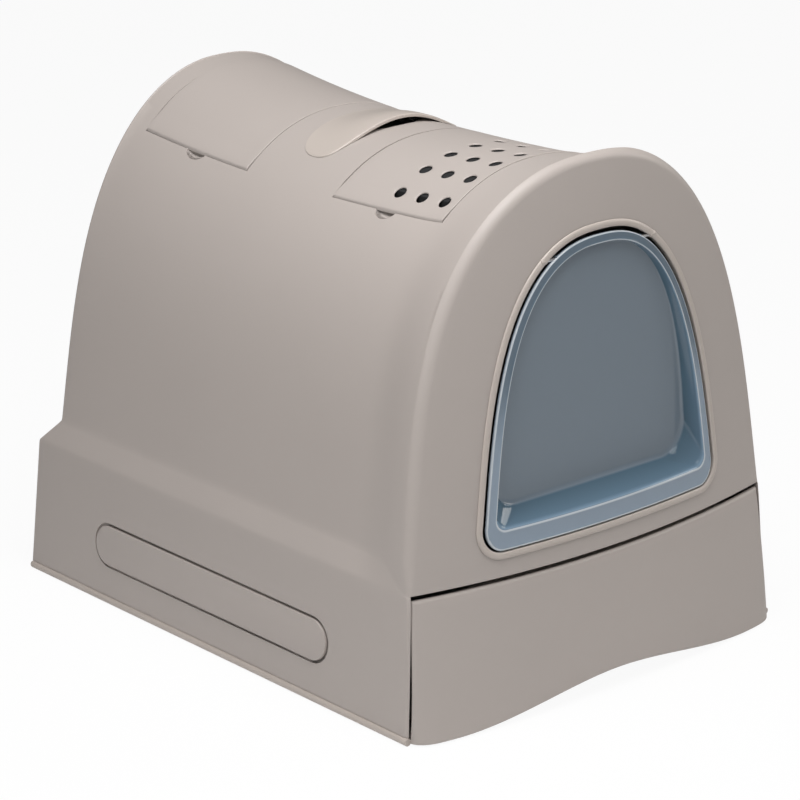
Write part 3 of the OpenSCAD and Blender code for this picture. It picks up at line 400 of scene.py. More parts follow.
# Materials.
def material(name, colour, rough, grain=0.0, grain_scale=1400.0, mottle=0.03, **sockets):
    """Moulded plastic: a fine eroded grain, slow changes in gloss and a slight mottle in colour."""
    mat = bpy.data.materials.new(name)
    mat.use_nodes = True
    nodes, links = mat.node_tree.nodes, mat.node_tree.links
    shader = nodes["Principled BSDF"]
    for key, value in sockets.items():
        shader.inputs[key.replace("_", " ")].default_value = value
    place = nodes.new("ShaderNodeTexCoord")
    slow = nodes.new("ShaderNodeTexNoise")
    slow.inputs["Scale"].default_value = 7.0
    slow.inputs["Detail"].default_value = 4.0
    links.new(place.outputs["Object"], slow.inputs["Vector"])
    tint = nodes.new("ShaderNodeMix")
    tint.data_type = "RGBA"
    tint.inputs["A"].default_value = [c * (1 - mottle) for c in colour] + [1]
    tint.inputs["B"].default_value = [min(1, c * (1 + mottle)) for c in colour] + [1]
    links.new(slow.outputs["Fac"], tint.inputs["Factor"])
    links.new(tint.outputs["Result"], shader.inputs["Base Color"])
    fine = nodes.new("ShaderNodeTexNoise")
    fine.inputs["Scale"].default_value = grain_scale
    fine.inputs["Detail"].default_value = 2.0
    links.new(place.outputs["Object"], fine.inputs["Vector"])
    gloss = nodes.new("ShaderNodeMapRange")
    gloss.inputs["To Min"].default_value = rough - 0.04
    gloss.inputs["To Max"].default_value = rough + 0.04
    links.new(slow.outputs["Fac"], gloss.inputs["Value"])
    links.new(gloss.outputs["Result"], shader.inputs["Roughness"])
    if grain:
        bump = nodes.new("ShaderNodeBump")
        bump.inputs["Strength"].default_value = grain
        bump.inputs["Distance"].default_value = 0.00012
        links.new(fine.outputs["Fac"], bump.inputs["Height"])
        links.new(bump.outputs["Normal"], shader.inputs["Normal"])
    return mat


def door_material():
    """Clear slate-blue plastic: greyer in the panel, bluer in the walls; the flange is painted lighter
    towards the foot, and the crest line and the door's edge carry painted highlights.
    """
    mat = material("slate_blue_clear", (0.2, 0.29, 0.38), 0.08, grain=0.03, grain_scale=300,
                   Transmission_Weight=0.35, IOR=1.46)
    nodes, links = mat.node_tree.nodes, mat.node_tree.links
    painted_light_zone = nodes.new("ShaderNodeAttribute")
    painted_light_zone.attribute_name = "painted_light_zone"
    ramp = nodes.new("ShaderNodeValToRGB")
    # Ramp colours: the panel's own slate blue at 0, deep blue in the walls, a painted highlight at the
    # crest's top, the flange painted lighter from 0.6 to 0.76, and the pale painted highlight of the edge
    # at 1.
    ramp.color_ramp.elements[0].color = (0.25, 0.305, 0.36, 1)
    ramp.color_ramp.elements[1].color = (0.85, 0.9, 0.93, 1)
    stops = ((0.22, (0.115, 0.185, 0.245)), (0.36, (0.16, 0.25, 0.335)), (0.48, (0.3, 0.43, 0.56)),
             (0.6, (0.17, 0.225, 0.28)), (0.76, (0.36, 0.44, 0.53)))
    for place, colour in stops:
        ramp.color_ramp.elements.new(place).color = (*colour, 1)
    links.new(painted_light_zone.outputs["Fac"], ramp.inputs["Fac"])
    links.new(ramp.outputs["Color"], nodes["Principled BSDF"].inputs["Base Color"])
    return mat


SHELL = material("taupe_plastic", (0.425, 0.379, 0.352), 0.48, grain=0.35)
# A lighter, glossier copy of the shell plastic for the frame, the handle and the base tray; its lighter
# colour is a painted highlight standing in for the light their rounded edges catch.
TAUPE_PAINTED_LIGHTER = material("taupe_plastic_smooth_painted_lighter", (0.475, 0.42, 0.38), 0.36, grain=0.12)
TRAY = material("dark_taupe_plastic", (0.3, 0.265, 0.24), 0.42, grain=0.2)
DOOR = door_material()
FELT = material("carbon_felt", (0.012, 0.012, 0.013), 0.95, grain=1.0, grain_scale=900, mottle=0.5)
STEEL = material("zinc_steel", (0.62, 0.62, 0.63), 0.3, grain=0.1, grain_scale=2500, Metallic=1.0)


def finish_piece(obj, mat, body, slot, *nodes, angle=32):
    """Shade a piece, let it ride on its body, and put it in the place of its CAD nodes."""
    smooth(obj, angle)
    obj.data.materials.clear()
    obj.data.materials.append(mat)
    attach(obj, body)
    if nodes:
        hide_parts(*nodes)


# Door outline.
def door_loop(wide, low, top, r):
    """The door's outline: half width at the foot, foot, top and corner radius."""
    corner = np.array([wide - DOOR_LEAN * r - r, low + r])
    base = [(x, low) for x in np.linspace(0, corner[0], 16)[:-1]]
    turns = np.radians(np.linspace(-90, 5, 14))
    arc = [corner + r * np.array([math.cos(a), math.sin(a)]) for a in turns]
    high = top - low
    t0 = (arc[-1][1] - low) / high
    s = np.arange(1, 61) / 60
    t = t0 + (1 - t0) * (1 - (1 - s) ** 2.1)
    side = (wide - DOOR_LEAN * high * t) * np.maximum(0, 1 - t**DOOR_POWER) ** (1 / DOOR_CROWN)
    half = np.array(base + [tuple(p) for p in arc] + list(zip(side, low + high * t)))
    return np.concatenate([half, half[-2:0:-1] * (-1, 1)])


def outward(loop):
    """Unit vectors that point out of a closed loop at each of its points."""
    t = np.roll(loop, -1, 0) - np.roll(loop, 1, 0)
    t /= np.linalg.norm(t, axis=1)[:, None]
    return np.stack([t[:, 1], -t[:, 0]], 1)


def ridge_loop(r):
    """Outline of the crest between the flange and the pan."""
    inset = FLANGE_W + RIDGE_IN
    wide = DOOR_X - FLANGE_W - DOOR_LEAN * inset
    return door_loop(wide, DOOR_Z + inset, DOOR_TOP - FLANGE_W + RIDGE_OUT, r)


DOOR_LOOP = door_loop(DOOR_X, DOOR_Z, DOOR_TOP, DOOR_CORNER_R)
DOOR_SIDE = outward(DOOR_LOOP)
RIDGE, SOFT_RIDGE = ridge_loop(RIDGE_R), ridge_loop(SOFT_RIDGE_R)


def door_out(d):
    return DOOR_LOOP + d * DOOR_SIDE


def shrink(s):
    """Outline of the pan at share s of the way down its wall; its corners grow softer."""
    p = RIDGE + (SOFT_RIDGE - RIDGE) * min(1, max(0, 1.6 * s))
    z = PIVOT_Z - (PIVOT_Z - p[:, 1]) * (1 - PAN_TAPER_Z * s)
    return np.stack([p[:, 0] * (1 - PAN_TAPER_X * s), z], 1)


def pan_y(z):
    """Depth of the flat panel, which leans from a deep foot to a shallow top."""
    a = front_y(0, DOOR_Z + PAN_LOW_IN) + PAN_DEPTH
    b = front_y(0, DOOR_TOP - PAN_TOP_IN) + PAN_DEPTH_TOP
    return a + (b - a) * (z - DOOR_Z - PAN_LOW_IN) / (DOOR_TOP - DOOR_Z - PAN_LOW_IN - PAN_TOP_IN)


def on_front(p, back):
    """Points of the X-Z plane laid on the hood's front face, moved back."""
    return np.stack([p[:, 0], front_y(p[:, 0], p[:, 1]) + back, p[:, 1]], 1)


def sunk(s, f, back):
    """The pan's outline at share s, at share f of its depth, moved back."""
    p = shrink(s)
    y0 = front_y(p[:, 0], p[:, 1]) - DOOR_PROUD
    return np.stack([p[:, 0], y0 + (pan_y(p[:, 1]) - y0) * f + back, p[:, 1]], 1)


def loops(name, rings, closed):
    """Skin through closed loops; closed joins the last to the first, else both ends are capped."""
    n = len(rings[0])
    points = [tuple(p) for r in rings for p in r]
    faces = []
    for k in range(len(rings) if closed else len(rings) - 1):
        a, b = k * n, ((k + 1) % len(rings)) * n
        faces += [(a + i, a + (i + 1) % n, b + (i + 1) % n, b + i) for i in range(n)]
    if not closed:
        last = (len(rings) - 1) * n
        faces += [tuple(range(n)), tuple(range(last + n - 1, last - 1, -1))]
    return make(name, points, faces)


# The hood.
def stadium_loop(l, h, n=24):
    r, d = h / 2, (l - h) / 2
    right = [(d + r * math.cos(a), r * math.sin(a)) for a in np.linspace(-math.pi / 2, math.pi / 2, n)]
    return right + [(-x, -z) for x, z in right]


def skirt_point(side, u, v, out):
    """A point beside the skirt: u to the rear, v up its face and out from the insert's face."""
    a = math.atan(INSERT_SLOPE)
    x = RIM_W / 2 - INSERT_SLOPE * INSERT_Z - v * math.sin(a) + out * math.cos(a)
    z = INSERT_Z + v * math.cos(a) + out * math.sin(a)
    return (side * x, INSERT_Y + u, z)


def skirt_plate(name, side, loop_depths):
    """A solid beside the skirt, through (loop, depth) pairs."""
    rings = [np.array([skirt_point(side, u, v, d) for u, v in loop]) for loop, d in loop_depths]
    return loops(name, rings, False)


def hinge_line(span):
    """Both ends of a lid's hinge line."""
    return [np.array([LID_HINGE_X, y, float(roof_z(LID_HINGE_X, y)) - LID_HINGE_DROP]) for y in span]


def barrel(name, span, k0, k1, r, end=0.5):
    """A round stretch of the hinge line between two shares of it."""
    a, b = hinge_line(span)
    p, q = a + (b - a) * k0, a + (b - a) * k1
    e = end / np.linalg.norm(q - p)
    return turned(name, p, q, [(0, r - end), (e, r), (1 - e, r), (1, r - end)])


def scoop_dish(name, scoop_y, grow):
    """The finger scoop: a shallow dish that reaches past the lid's near edge."""
    slope = float(roof_z(LID_X - 4, scoop_y) - roof_z(LID_X + 4, scoop_y)) / 8
    along = np.array([1.0, slope]) / math.hypot(1, slope)
    up = np.array([-along[1], along[0]])
    middle = np.array([-LID_X + 1, float(roof_z(LID_X - 1, scoop_y)) + 0.6])
    reach, wide, deep = SCOOP_REACH * 1.55 + grow, SCOOP_W + grow, SCOOP_DEPTH * 0.7 + grow
    points = [tuple((middle[0] - up[0] * deep, scoop_y, middle[1] - up[1] * deep))]
    rows, n = 16, 48
    for a in np.radians(np.linspace(-90, 90, rows + 1)[1:-1]):
        for b in np.linspace(0, 2 * math.pi, n, endpoint=False):
            g = middle + along * (math.cos(b) * reach * math.cos(a)) + up * (math.sin(a) * deep)
            points.append((g[0], scoop_y + math.sin(b) * wide * math.cos(a), g[1]))
    points.append((middle[0] + up[0] * deep, scoop_y, middle[1] + up[1] * deep))
    faces = [(0, 1 + (i + 1) % n, 1 + i) for i in range(n)]
    for k in range(rows - 2):
        for i in range(n):
            a, b = 1 + k * n + i, 1 + k * n + (i + 1) % n
            faces.append((a, b, b + n, a + n))
    last = len(points) - 1
    faces += [(last, last - n + i, last - n + (i + 1) % n) for i in range(n)]
    return make(name, points, faces)


def seat_tools(tag, span, depth, scoop_y):
    """What is cut out of the roof for a lid: recess, passage, finger scoop and knuckle rooms."""
    y0, y1 = span
    w, a, b = LID_X - LEDGE_W, y0 + LEDGE_W, y1 - LEDGE_W
    recess_x = LID_X + LID_GAP
    tools = [
        roof_sheet(tag + "_recess", -recess_x, recess_x, y0 - LID_GAP, y1 + LID_GAP, 30, depth),
        prism(tag + "_way", [(-w, a), (w, a), (w, b), (-w, b)], "z", 340, 440),
        scoop_dish(tag + "_scoop", scoop_y, 0),
    ]
    for k0, k1 in KNUCKLES:
        grow = 0.5 / (y1 - y0)
        tools.append(barrel(tag + "_room", span, k0 - grow, k1 + grow, BARREL_R + 0.7, 0.01))
    return tools


def drawer_way(seam_x):
    """Outline of the mouth for the drawer, under the seam."""
    side_low, side_high = skirt_x(0) - SKIRT_LIP, skirt_x(float(seam(seam_x))) - SKIRT_LIP
    way = [(side_low, -1), (side_high, float(seam(side_high)))]
    way += [(x, float(seam(x))) for x in np.linspace(seam_x, -seam_x, 60)]
    return way + [(-side_high, float(seam(side_high))), (-side_low, -1)]


def build_hood():
    u_list = np.concatenate([np.linspace(0, 0.2, 22)[:-1], np.linspace(0.2, 1, 34)])
    turns = np.radians(np.linspace(90, 10, 9))
    outer = make("hood_shell_skin", *hood_solid(
        [rounded_ring("front", a, SKIRT_LOW) for a in turns]
        + [body_ring(u, 0, SKIRT_LOW) for u in u_list]
        + [rounded_ring("rear", a, SKIRT_LOW) for a in turns[::-1]], 48, 0))
    crown = CROWN_Z * MM
    for v in outer.data.vertices:
        if v.co.z > crown:
            v.co.z = crown + (v.co.z - crown) * CROWN_SQUEEZE
    inner = make("inside", *hood_solid(
        [body_ring(u, WALL, 0, 50) for u in np.linspace(0, 1, 22)], 20, WALL))
    cut(outer, inner)
    seam_x = skirt_x(SEAM_Z) - SEAM_IN
    opening = [(p[0], p[1]) for p in door_out(DOOR_GAP + FRAME_W - FRAME_LAP)]
    cut(outer,
        prism("door_way", opening, "y", -300, -200),
        prism("drawer_way", drawer_way(seam_x), "y", -300, -226))
    vent_depth = LID_T + SEAT - LID_PROUD
    rear_depth = LID_T + BIN_FLANGE_T + 2 * SEAT - LID_PROUD
    seats = (("vent", VENT_Y, vent_depth, VENT_PAD_T, VENT_SCOOP_Y),
             ("rear", REAR_Y, rear_depth, REAR_PAD_T, REAR_SCOOP_Y))
    for tag, span, depth, thick, scoop_y in seats:
        cut(outer, *seat_tools(tag, span, depth, scoop_y))
    grip = [(-44, 0), (-25, -3.5), (-14, -10), (0, -11.2), (14, -10), (25, -3.5), (44, 0), (48, 8),
            (48, 28), (40, 34), (-40, 34), (-48, 28), (-48, 8)]
    cut(outer, prism("grip", grip, "z", 380, 430))
    parts = [outer]
    pad_x = LID_X + PAD_W
    for tag, span, depth, thick, scoop_y in seats:
        pad = roof_sheet(tag + "_pad", -pad_x, pad_x, span[0] - PAD_W, span[1] + PAD_W, -1.2, thick)
        cut(pad, *seat_tools(tag, span, depth, scoop_y))
        parts.append(pad)
        bowl = scoop_dish(tag + "_bowl", scoop_y, 1.3)
        over = roof_sheet("over", -LID_X - 30, LID_X, scoop_y - 30, scoop_y + 30, 30, 0.6)
        cut(bowl, scoop_dish("dish", scoop_y, 0.05), over)
        parts.append(bowl)
        parts += [barrel(tag + "_land", span, k0, k1, BARREL_R) for k0, k1 in LANDS]
    sill = [(x, float(front_y(x, SEAM_Z)) + 1.4) for x in np.linspace(-seam_x, seam_x, 40)]
    sill += [(seam_x, FRONT_STATION), (-seam_x, FRONT_STATION)]
    parts.append(prism("sill", sill, "z", SEAM_Z + SEAM_RISE + 0.1, SEAM_Z + SEAM_RISE + 2.5))
    mouth = stadium_loop(INSERT_L + 2 * INSERT_GAP, INSERT_H + 2 * INSERT_GAP)
    inside = stadium_loop(INSERT_L + INSERT_SEAT_GROW, INSERT_H + INSERT_SEAT_GROW)
    back = stadium_loop(INSERT_L + INSERT_BACK_GROW, INSERT_H + INSERT_BACK_GROW)
    floor = -INSERT_T - SEAT
    recess = [(inside, floor), (inside, -0.55), (mouth, -0.5), (mouth, 12)]
    for side in (-1, 1):
        cut(outer, skirt_plate("recess", side, recess))
        parts.append(skirt_plate("insert_back", side, [(back, -INSERT_BACK_T), (back, floor)]))
    return join("hood", parts)


hood = build_hood()
finish_piece(hood, SHELL, "hood", "shell_plastic", "hood_shell", angle=28)


# Lids.
def grid_lines(a, b, n, r):
    """Lines from a to b that crowd within r of both ends."""
    lip = r * (1 - np.cos(np.linspace(0, math.pi / 2, 6)))
    return np.concatenate([a + lip, np.linspace(a + r, b - r, n)[1:-1], b - lip[::-1]])


def rolled(d, r):
    """Drop of a rounded edge of radius r at distance d from the edge."""
    e = np.clip(1 - d / r, 0, 1)
    return r * (1 - np.sqrt(1 - e * e))


def lid_sheet(name, span, r=0.6):
    """The raised edge is the near one; the others sink to the roof and show a thin line."""
    near, far = -LID_X, LID_X - LINE_GAP
    y0, y1 = span[0] + LINE_GAP, span[1] - LINE_GAP
    close = near + 14 * np.linspace(0, 1, 12)[:-1] ** 1.6
    xs = np.concatenate([close, grid_lines(near + 14, far, 60, r)])
    x, y = np.meshgrid(xs, grid_lines(y0, y1, 44, r), indexing="ij")
    d = np.minimum(np.minimum(x - near, far - x), np.minimum(y - y0, y1 - y))
    raised = (LID_PROUD - LID_LEVEL) * (1 - ease((x - near) / LID_RAISED_W))
    z = roof_z(x, y) + LID_LEVEL + raised
    low = roof_z(x, y) + LID_PROUD - LID_T
    return sheet(name, np.stack([x, y, z - rolled(d, r)], -1), np.stack([x, y, low], -1))


def vent_hole(x, y):
    """A tool along the roof's normal that cuts one hole with a chamfered mouth."""
    half = 12
    top = np.array([x, y, float(roof_z(x, y)) + LID_LEVEL])
    fall_x = float(roof_z(x - 3, y) - roof_z(x + 3, y))
    fall_y = float(roof_z(x, y - 3) - roof_z(x, y + 3))
    up = np.array([fall_x, fall_y, 6.0])
    up = up / np.linalg.norm(up) * half
    heights = ((-half, 1.4), (-1.2, 1.4), (-1.1, 0), (-0.8, 0), (-0.3, 0.35), (0.1, 1.0), (half, 1.6))
    radii = [(0.5 + h / (2 * half), VENT_D / 2 - 0.1 + wider) for h, wider in heights]
    return turned("hole", top - up, top + up, radii, 48)


def lid(name, span, holes):
    body = lid_sheet(name, span)
    for k0, k1 in LANDS:
        grow = 0.004 if k0 > 0.2 and k1 < 0.8 else 0.04
        cut(body, barrel("room", span, k0 - grow, k1 + grow, BARREL_R + 0.6, 0.01))
    for i in range(holes):
        for j in (-1, 0, 1):
            x = VENT_MID_X + (i - (holes - 1) / 2) * VENT_STEP_X
            cut(body, vent_hole(x, VENT_MID_Y + j * VENT_STEP_Y))
    knuckles = [barrel("knuckle", span, k0 + 0.003, k1 - 0.003, BARREL_R) for k0, k1 in KNUCKLES]
    return join(name, [body] + knuckles)


finish_piece(lid("vent_lid_skin", VENT_Y, VENT_ROWS), SHELL, "vent", "shell_plastic", "vent_lid")
finish_piece(lid("rear_lid_skin", REAR_Y, 0), SHELL, "rear", "shell_plastic", "rear_lid")


# Carry handle.
def handle_front(x):
    end = np.maximum(0, 1 - np.abs(x / HANDLE_X) ** 16) ** 0.45
    return HANDLE_MID - (HANDLE_MID + 3) * end - 9 * (1 - np.square(x / HANDLE_X))


def handle_back(x):
    end = np.maximum(0, 1 - np.abs(x / HANDLE_X) ** 4) ** 0.45
    return HANDLE_MID + 1 + (HANDLE_REAR - HANDLE_MID - 1) * end


def build_handle():
    """A pad that follows the roof; its front lip rises over the grip in a soft hump."""
    c = np.sin(np.linspace(-math.pi / 2, math.pi / 2, 90))
    s = 0.5 - 0.5 * np.cos(np.linspace(0, math.pi, 40))
    c, s = np.meshgrid(c, s, indexing="ij")
    x = c * HANDLE_X
    y = handle_front(x) + (handle_back(x) - handle_front(x)) * s
    hump = np.maximum(0, np.cos(np.radians(90 * np.clip(x / 60, -1, 1)))) ** 1.5
    lift = HANDLE_RISE * hump * (1 - ease(s * 1.05 - 0.15))
    rim = rolled(s * 50, 2.0) * 0.5 + rolled((1 - np.abs(c)) * HANDLE_X, 2.5) * 0.4
    top = np.maximum(0.7, HANDLE_PROUD * (1 - 0.5 * s) - rim) + lift
    z = roof_z(x, y)
    low = np.maximum(SEAT, top - LIP_T * (0.5 + 0.5 * ease(s / 0.3)))
    return sheet("carry_handle_skin", np.stack([x, y, z + top], -1), np.stack([x, y, z + low], -1))


finish_piece(build_handle(), TAUPE_PAINTED_LIGHTER, "hood", "shell_plastic", "carry_handle")


# Drawer front.
def drawer_edge(x):
    return DRAWER_LOW + GRIP_RISE * ease((GRIP_X - np.abs(x)) / GRIP_X)


def drawer_edge_top(x):
    return DRAWER_TOP + DRAWER_RISE * np.square(x * 2 / RIM_W)


def drawer_x(z):
    return skirt_x(z) - SKIRT_LIP - DRAWER_GAP


def drawer_face(x, z):
    """The hood's bulge carried on down, with a belly that grows to the foot."""
    flat = FRONT_Y0 + FRONT_LEAN * z - FRONT_BULGE * (1 - np.square(x * 2 / RIM_W))
    end = np.maximum(0, 1 - np.abs(x * 2.05 / RIM_W) ** 30)
    belly = (BELLY + BELLY_SIDE * np.square(x * 2.42 / RIM_W)) * end
    return flat - belly * np.maximum(0, DRAWER_TOP - z) / DRAWER_TOP


def build_drawer_front():
    c = grid_lines(-1, 1, 150, 0.014)
    r = grid_lines(0, 1, 40, 0.03)
    c, r = np.meshgrid(c, r, indexing="ij")
    x0 = c * drawer_x(0)
    z = drawer_edge(x0) + (drawer_edge_top(x0) - drawer_edge(x0)) * r
    x = c * drawer_x(z)
    y = drawer_face(x, z)
    high = DRAWER_TOP - DRAWER_LOW
    d = np.minimum((1 - np.abs(c)) * 190, (1 - r) * high)
    soft = np.minimum(2.0, rolled(d, 2.6)) + np.minimum(1.2, rolled(r * high, 1.2))
    face = np.stack([x, y + soft, z], -1)
    back = np.stack([x, y + DRAWER_T, z], -1)
    return sheet("drawer_front_skin", face, back)


def build_drawer_ledge():
    sx = drawer_x(DRAWER_TOP) - 15
    edge = [(x, float(drawer_face(x, DRAWER_TOP)) + 1.5) for x in np.linspace(-sx, sx, 40)]
    high = DRAWER_TOP - LEDGE_DROP
    return prism("ledge", edge + [(sx, -233), (-sx, -233)], "z", high - LEDGE_T, high)


drawer = join("drawer_front_piece", [build_drawer_front(), build_drawer_ledge()])
finish_piece(drawer, SHELL, "drawer", "shell_plastic", "drawer_front")


# Door frame, door and hinge.
def door_wide(z):
    t = (z - DOOR_Z) / (DOOR_TOP - DOOR_Z)
    return (DOOR_X - DOOR_LEAN * (z - DOOR_Z)) * max(0, 1 - t**DOOR_POWER) ** (1 / DOOR_CROWN)


HINGE_Y = float(front_y(0, HINGE_Z)) + HINGE_BACK
PIN_X0 = door_wide(HINGE_Z) - 13
BOSS_X0 = door_wide(HINGE_Z - BOSS_R) + 1.2
BOSS_X1 = BOSS_X0 + BOSS_L
BARREL_X = door_wide(HINGE_Z + BOSS_R) - 0.5


def stub(name, x0, x1, r):
    """A short round bar on the door's hinge axis, with soft ends."""
    e = 0.3 / abs(x1 - x0)
    radii = [(0, r - 0.3), (e, r), (1 - e, r), (1, r - 0.3)]
    return turned(name, (x0, HINGE_Y, HINGE_Z), (x1, HINGE_Y, HINGE_Z), radii)


def build_frame():
    g, w, h = DOOR_GAP, FRAME_W, FRAME_PROUD
    turns = np.linspace(0.02, math.pi - 0.02, 15)
    arc = [(g + w / 2 - w / 2 * math.cos(a), -SEAT - (h - SEAT) * math.sin(a) ** 0.8) for a in turns]
    neck = g + w - FRAME_LAP - SEAT
    section = [(g, 3.4), (g, 0.6)] + arc + [(neck, -SEAT), (neck, 3.4)]
    ring = loops("ring", [on_front(door_out(d), b) for d, b in section], True)
    bosses = [stub("boss", s * BOSS_X0, s * BOSS_X1, BOSS_R) for s in (-1, 1)]
    return join("door_frame_skin", [ring] + bosses)


finish_piece(build_frame(), TAUPE_PAINTED_LIGHTER, "hood", "shell_plastic", "door_frame")


# The painted highlight on the door's edge is wider at the foot, and the flange is painted lighter towards
# the foot, for the light it catches there.
EDGE_SHIFT = 1.4 - 2.2 * np.clip(-DOOR_SIDE[:, 1], 0, 1) ** 2
FLANGE_PAINTED_LIGHT = 0.6 + 0.16 * ease((285 - DOOR_LOOP[:, 1]) / 80)
RIM_PAINTED_LIGHT = np.where(DOOR_SIDE[:, 1] < -0.5, ZONE_PAINTED_HIGHLIGHT, FLANGE_PAINTED_LIGHT)


def between(share, back):
    """A loop on the flange at a share of the way from the crest to the door's edge."""
    return on_front(RIDGE + (DOOR_LOOP - RIDGE) * share, back - DOOR_PROUD)


def edge_in(d, back):
    """A loop inside the door's edge, for the turn of that edge."""
    p = DOOR_LOOP - (d + EDGE_SHIFT)[:, None] * DOOR_SIDE
    return on_front(p, back - DOOR_PROUD)


def build_door():
    """The pan, its soft walls, a raised crest, the flange with its edge, and the back of all that."""
    rings, parts = [], []

    def add(part, *new):
        rings.extend(new)
        parts.extend([part * np.ones(len(DOOR_LOOP))] * len(new))

    add(ZONE_PANEL, *[sunk(1 - 0.28 * k, 1 - 0.07 * k**2, 0) for k in np.linspace(0, 1, 9)])
    for k in np.linspace(0.1, 1, 10):
        add(ZONE_WALL + (ZONE_CREST - ZONE_WALL) * k, sunk(0.72 - 0.6 * k, 0.93 - 0.76 * k, 0))
    # From here the rings carry painted light: a painted highlight up the crest, the crest line and the
    # door's edge painted pale, and the flange painted lighter towards the foot.
    for k in np.linspace(0.2, 1, 5):
        turn = math.sin(k * math.pi / 2)
        add(ZONE_CREST + (ZONE_CREST_HIGHLIGHT - ZONE_CREST) * k, sunk(0.12 - 0.12 * k, 0.17 - 0.15 * turn, 0))
    add(ZONE_PAINTED_HIGHLIGHT, between(0.03, -0.15), between(0.08, -0.35))
    add(FLANGE_PAINTED_LIGHT, between(0.15, -0.25), between(0.22, 0.0), between(0.4, 0.05))
    add(FLANGE_PAINTED_LIGHT, edge_in(2.4, 0), edge_in(1.7, -0.1))
    add(RIM_PAINTED_LIGHT, edge_in(1.2, -0.1))
    add(ZONE_PAINTED_HIGHLIGHT, edge_in(0.6, -0.12), edge_in(0.25, 0.1), edge_in(0, 0.6))
    add(FLANGE_PAINTED_LIGHT, edge_in(0, DOOR_T), between(0, 0.2 + DOOR_T))
    add(ZONE_BACK, sunk(-0.05, 0.2, DOOR_T), sunk(0.3, 0.7, DOOR_T), sunk(0.64, 0.93, DOOR_T))
    add(ZONE_PANEL, sunk(0.93, 1, DOOR_T))
    panel = loops("panel", rings, False)
    painted_light_zone = panel.data.attributes.new("painted_light_zone", "FLOAT", "POINT")
    painted_light_zone.data.foreach_set("value", np.concatenate(parts).astype(np.float32))
    bars = [stub("bar", s * (PIN_X0 - 1.2), s * BARREL_X, BOSS_R) for s in (-1, 1)]
    return join("door_panel_skin", [panel] + bars)


finish_piece(build_door(), DOOR, "door", "door_plastic", "door_panel", angle=40)


# Side inserts.
def build_insert(name, side):
    """A plate with a soft edge, flush with the skirt."""
    def at(shrink_by, out):
        return stadium_loop(INSERT_L - 2 * shrink_by, INSERT_H - 2 * shrink_by), out

    plan = [at(0, -INSERT_T), at(0, -0.8), at(0.1, -0.4), at(0.35, -0.12), at(0.8, 0)]
    return skirt_plate(name, side, plan)


for side, word in ((-1, "left"), (1, "right")):
    insert = build_insert("side_insert_%s_skin" % word, side)
    finish_piece(insert, SHELL, "hood", "shell_plastic", "side_insert_" + word)


# Nodes that keep their CAD form.
KEPT = {
    "base_tray": TAUPE_PAINTED_LIGHTER, "drawer_tray": TRAY, "storage_bin": TRAY, "filter_grille": TRAY,
    "carbon_filter": FELT, "base_screws": STEEL, "handle_screws": STEEL,
    "door_hinge_pins": STEEL, "vent_lid_rod": STEEL, "rear_lid_rod": STEEL,
}
for node, mat in KEPT.items():
    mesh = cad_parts[node].data
    mesh.materials.clear()
    mesh.materials.append(mat)


# Floor, light and camera.
def white_to_camera(mat, base, own):
    """A pale surface that the camera sees close to white, with the object's shadow kept."""
    mat.use_nodes = True
    nodes, links = mat.node_tree.nodes, mat.node_tree.links
    shader = nodes["Principled BSDF"]
    shader.inputs["Base Color"].default_value = (base, base, base, 1)
    shader.inputs["Roughness"].default_value = 0.9
    shader.inputs["Specular IOR Level"].default_value = 0.0
    glow = nodes.new("ShaderNodeEmission")
    glow.inputs["Strength"].default_value = 1.0
    path = nodes.new("ShaderNodeLightPath")
    either = nodes.new("ShaderNodeMath")
    either.operation = "MAXIMUM"
    links.new(path.outputs["Is Camera Ray"], either.inputs[0])
    links.new(path.outputs["Is Transmission Ray"], either.inputs[1])
    share = nodes.new("ShaderNodeMath")
    share.operation = "MULTIPLY"
    share.inputs[1].default_value = own
    links.new(either.outputs[0], share.inputs[0])
    mix = nodes.new("ShaderNodeMixShader")
    links.new(share.outputs[0], mix.inputs[0])
    links.new(shader.outputs[0], mix.inputs[1])
    links.new(glow.outputs[0], mix.inputs[2])
    links.new(mix.outputs[0], nodes["Material Output"].inputs["Surface"])


def build_stage():
    size, z = 6000.0, -0.2
    corners = [(-size, -size, z), (size, -size, z), (size, size, z), (-size, size, z)]
    floor = make("floor", corners, [(0, 1, 2, 3)])
    mat = bpy.data.materials.new("studio_floor")
    white_to_camera(mat, 0.85, 0.94)
    floor.data.materials.append(mat)


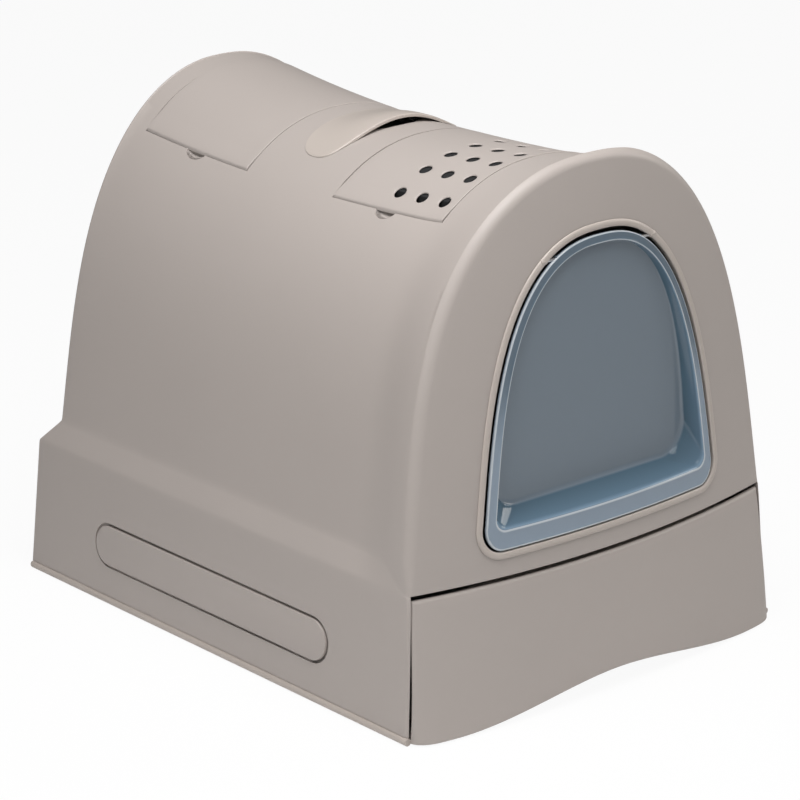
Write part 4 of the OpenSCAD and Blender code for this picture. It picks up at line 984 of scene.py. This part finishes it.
def build_world():
    """A dim white surround that the camera sees as white."""
    world = bpy.data.worlds.new("studio")
    bpy.context.scene.world = world
    world.use_nodes = True
    nodes, links = world.node_tree.nodes, world.node_tree.links
    back = nodes["Background"]
    back.inputs["Color"].default_value = (1, 1, 1, 1)
    path = nodes.new("ShaderNodeLightPath")
    strength = nodes.new("ShaderNodeMapRange")
    strength.inputs["To Min"].default_value = 0.12
    strength.inputs["To Max"].default_value = 1.0
    either = nodes.new("ShaderNodeMath")
    either.operation = "MAXIMUM"
    links.new(path.outputs["Is Camera Ray"], either.inputs[0])
    links.new(path.outputs["Is Transmission Ray"], either.inputs[1])
    links.new(either.outputs[0], strength.inputs["Value"])
    links.new(strength.outputs["Result"], back.inputs["Strength"])


def lamp(name, place, aim, size, watts, tint=(1, 1, 1)):
    light = bpy.data.lights.new(name, "AREA")
    light.shape, light.size, light.energy, light.color = "SQUARE", size, watts, tint
    obj = bpy.data.objects.new(name, light)
    obj.location = place
    obj.rotation_mode = "QUATERNION"
    obj.rotation_quaternion = (Vector(aim) - Vector(place)).to_track_quat("-Z", "Y")
    bpy.context.scene.collection.objects.link(obj)


def build_camera():
    azimuth, rise = math.radians(CAMERA_AZIMUTH), math.radians(CAMERA_RISE)
    level = math.cos(rise)
    back = Vector((math.sin(azimuth) * level, -math.cos(azimuth) * level, math.sin(rise)))
    data = bpy.data.cameras.new("camera")
    data.sensor_width, data.lens = SENSOR, LENS
    cam = bpy.data.objects.new("camera", data)
    cam.location = CAMERA_AT
    cam.rotation_mode = "QUATERNION"
    cam.rotation_quaternion = (-back).to_track_quat("-Z", "Y")
    data.clip_start, data.clip_end = 0.05, 50
    bpy.context.scene.collection.objects.link(cam)
    bpy.context.scene.camera = cam


build_stage()
build_world()
lamp("top_softbox", (-0.3, -0.3, 1.3), (0, -0.15, 0.3), 0.8, 11.6)
lamp("front_top", (-0.2, -1.2, 2.2), (0, -0.1, 0.3), 1.3, 13.6)
lamp("right_softbox", (2.4, -1.0, 1.2), (0, 0, 0.2), 1.2, 14.2, (1, 0.975, 0.93))
lamp("left_key", (-0.9, -0.9, 1.3), (-0.1, -0.15, 0.3), 0.8, 1.6)
lamp("left_fill", (-1.3, -0.5, 0.8), (-0.1, -0.15, 0.2), 0.8, 3.1)
lamp("rear_fill", (-2.2, 1.2, 0.8), (0, 0, 0.2), 1.2, 2.0)
build_camera()
bpy.context.scene.view_settings.view_transform = "Standard"
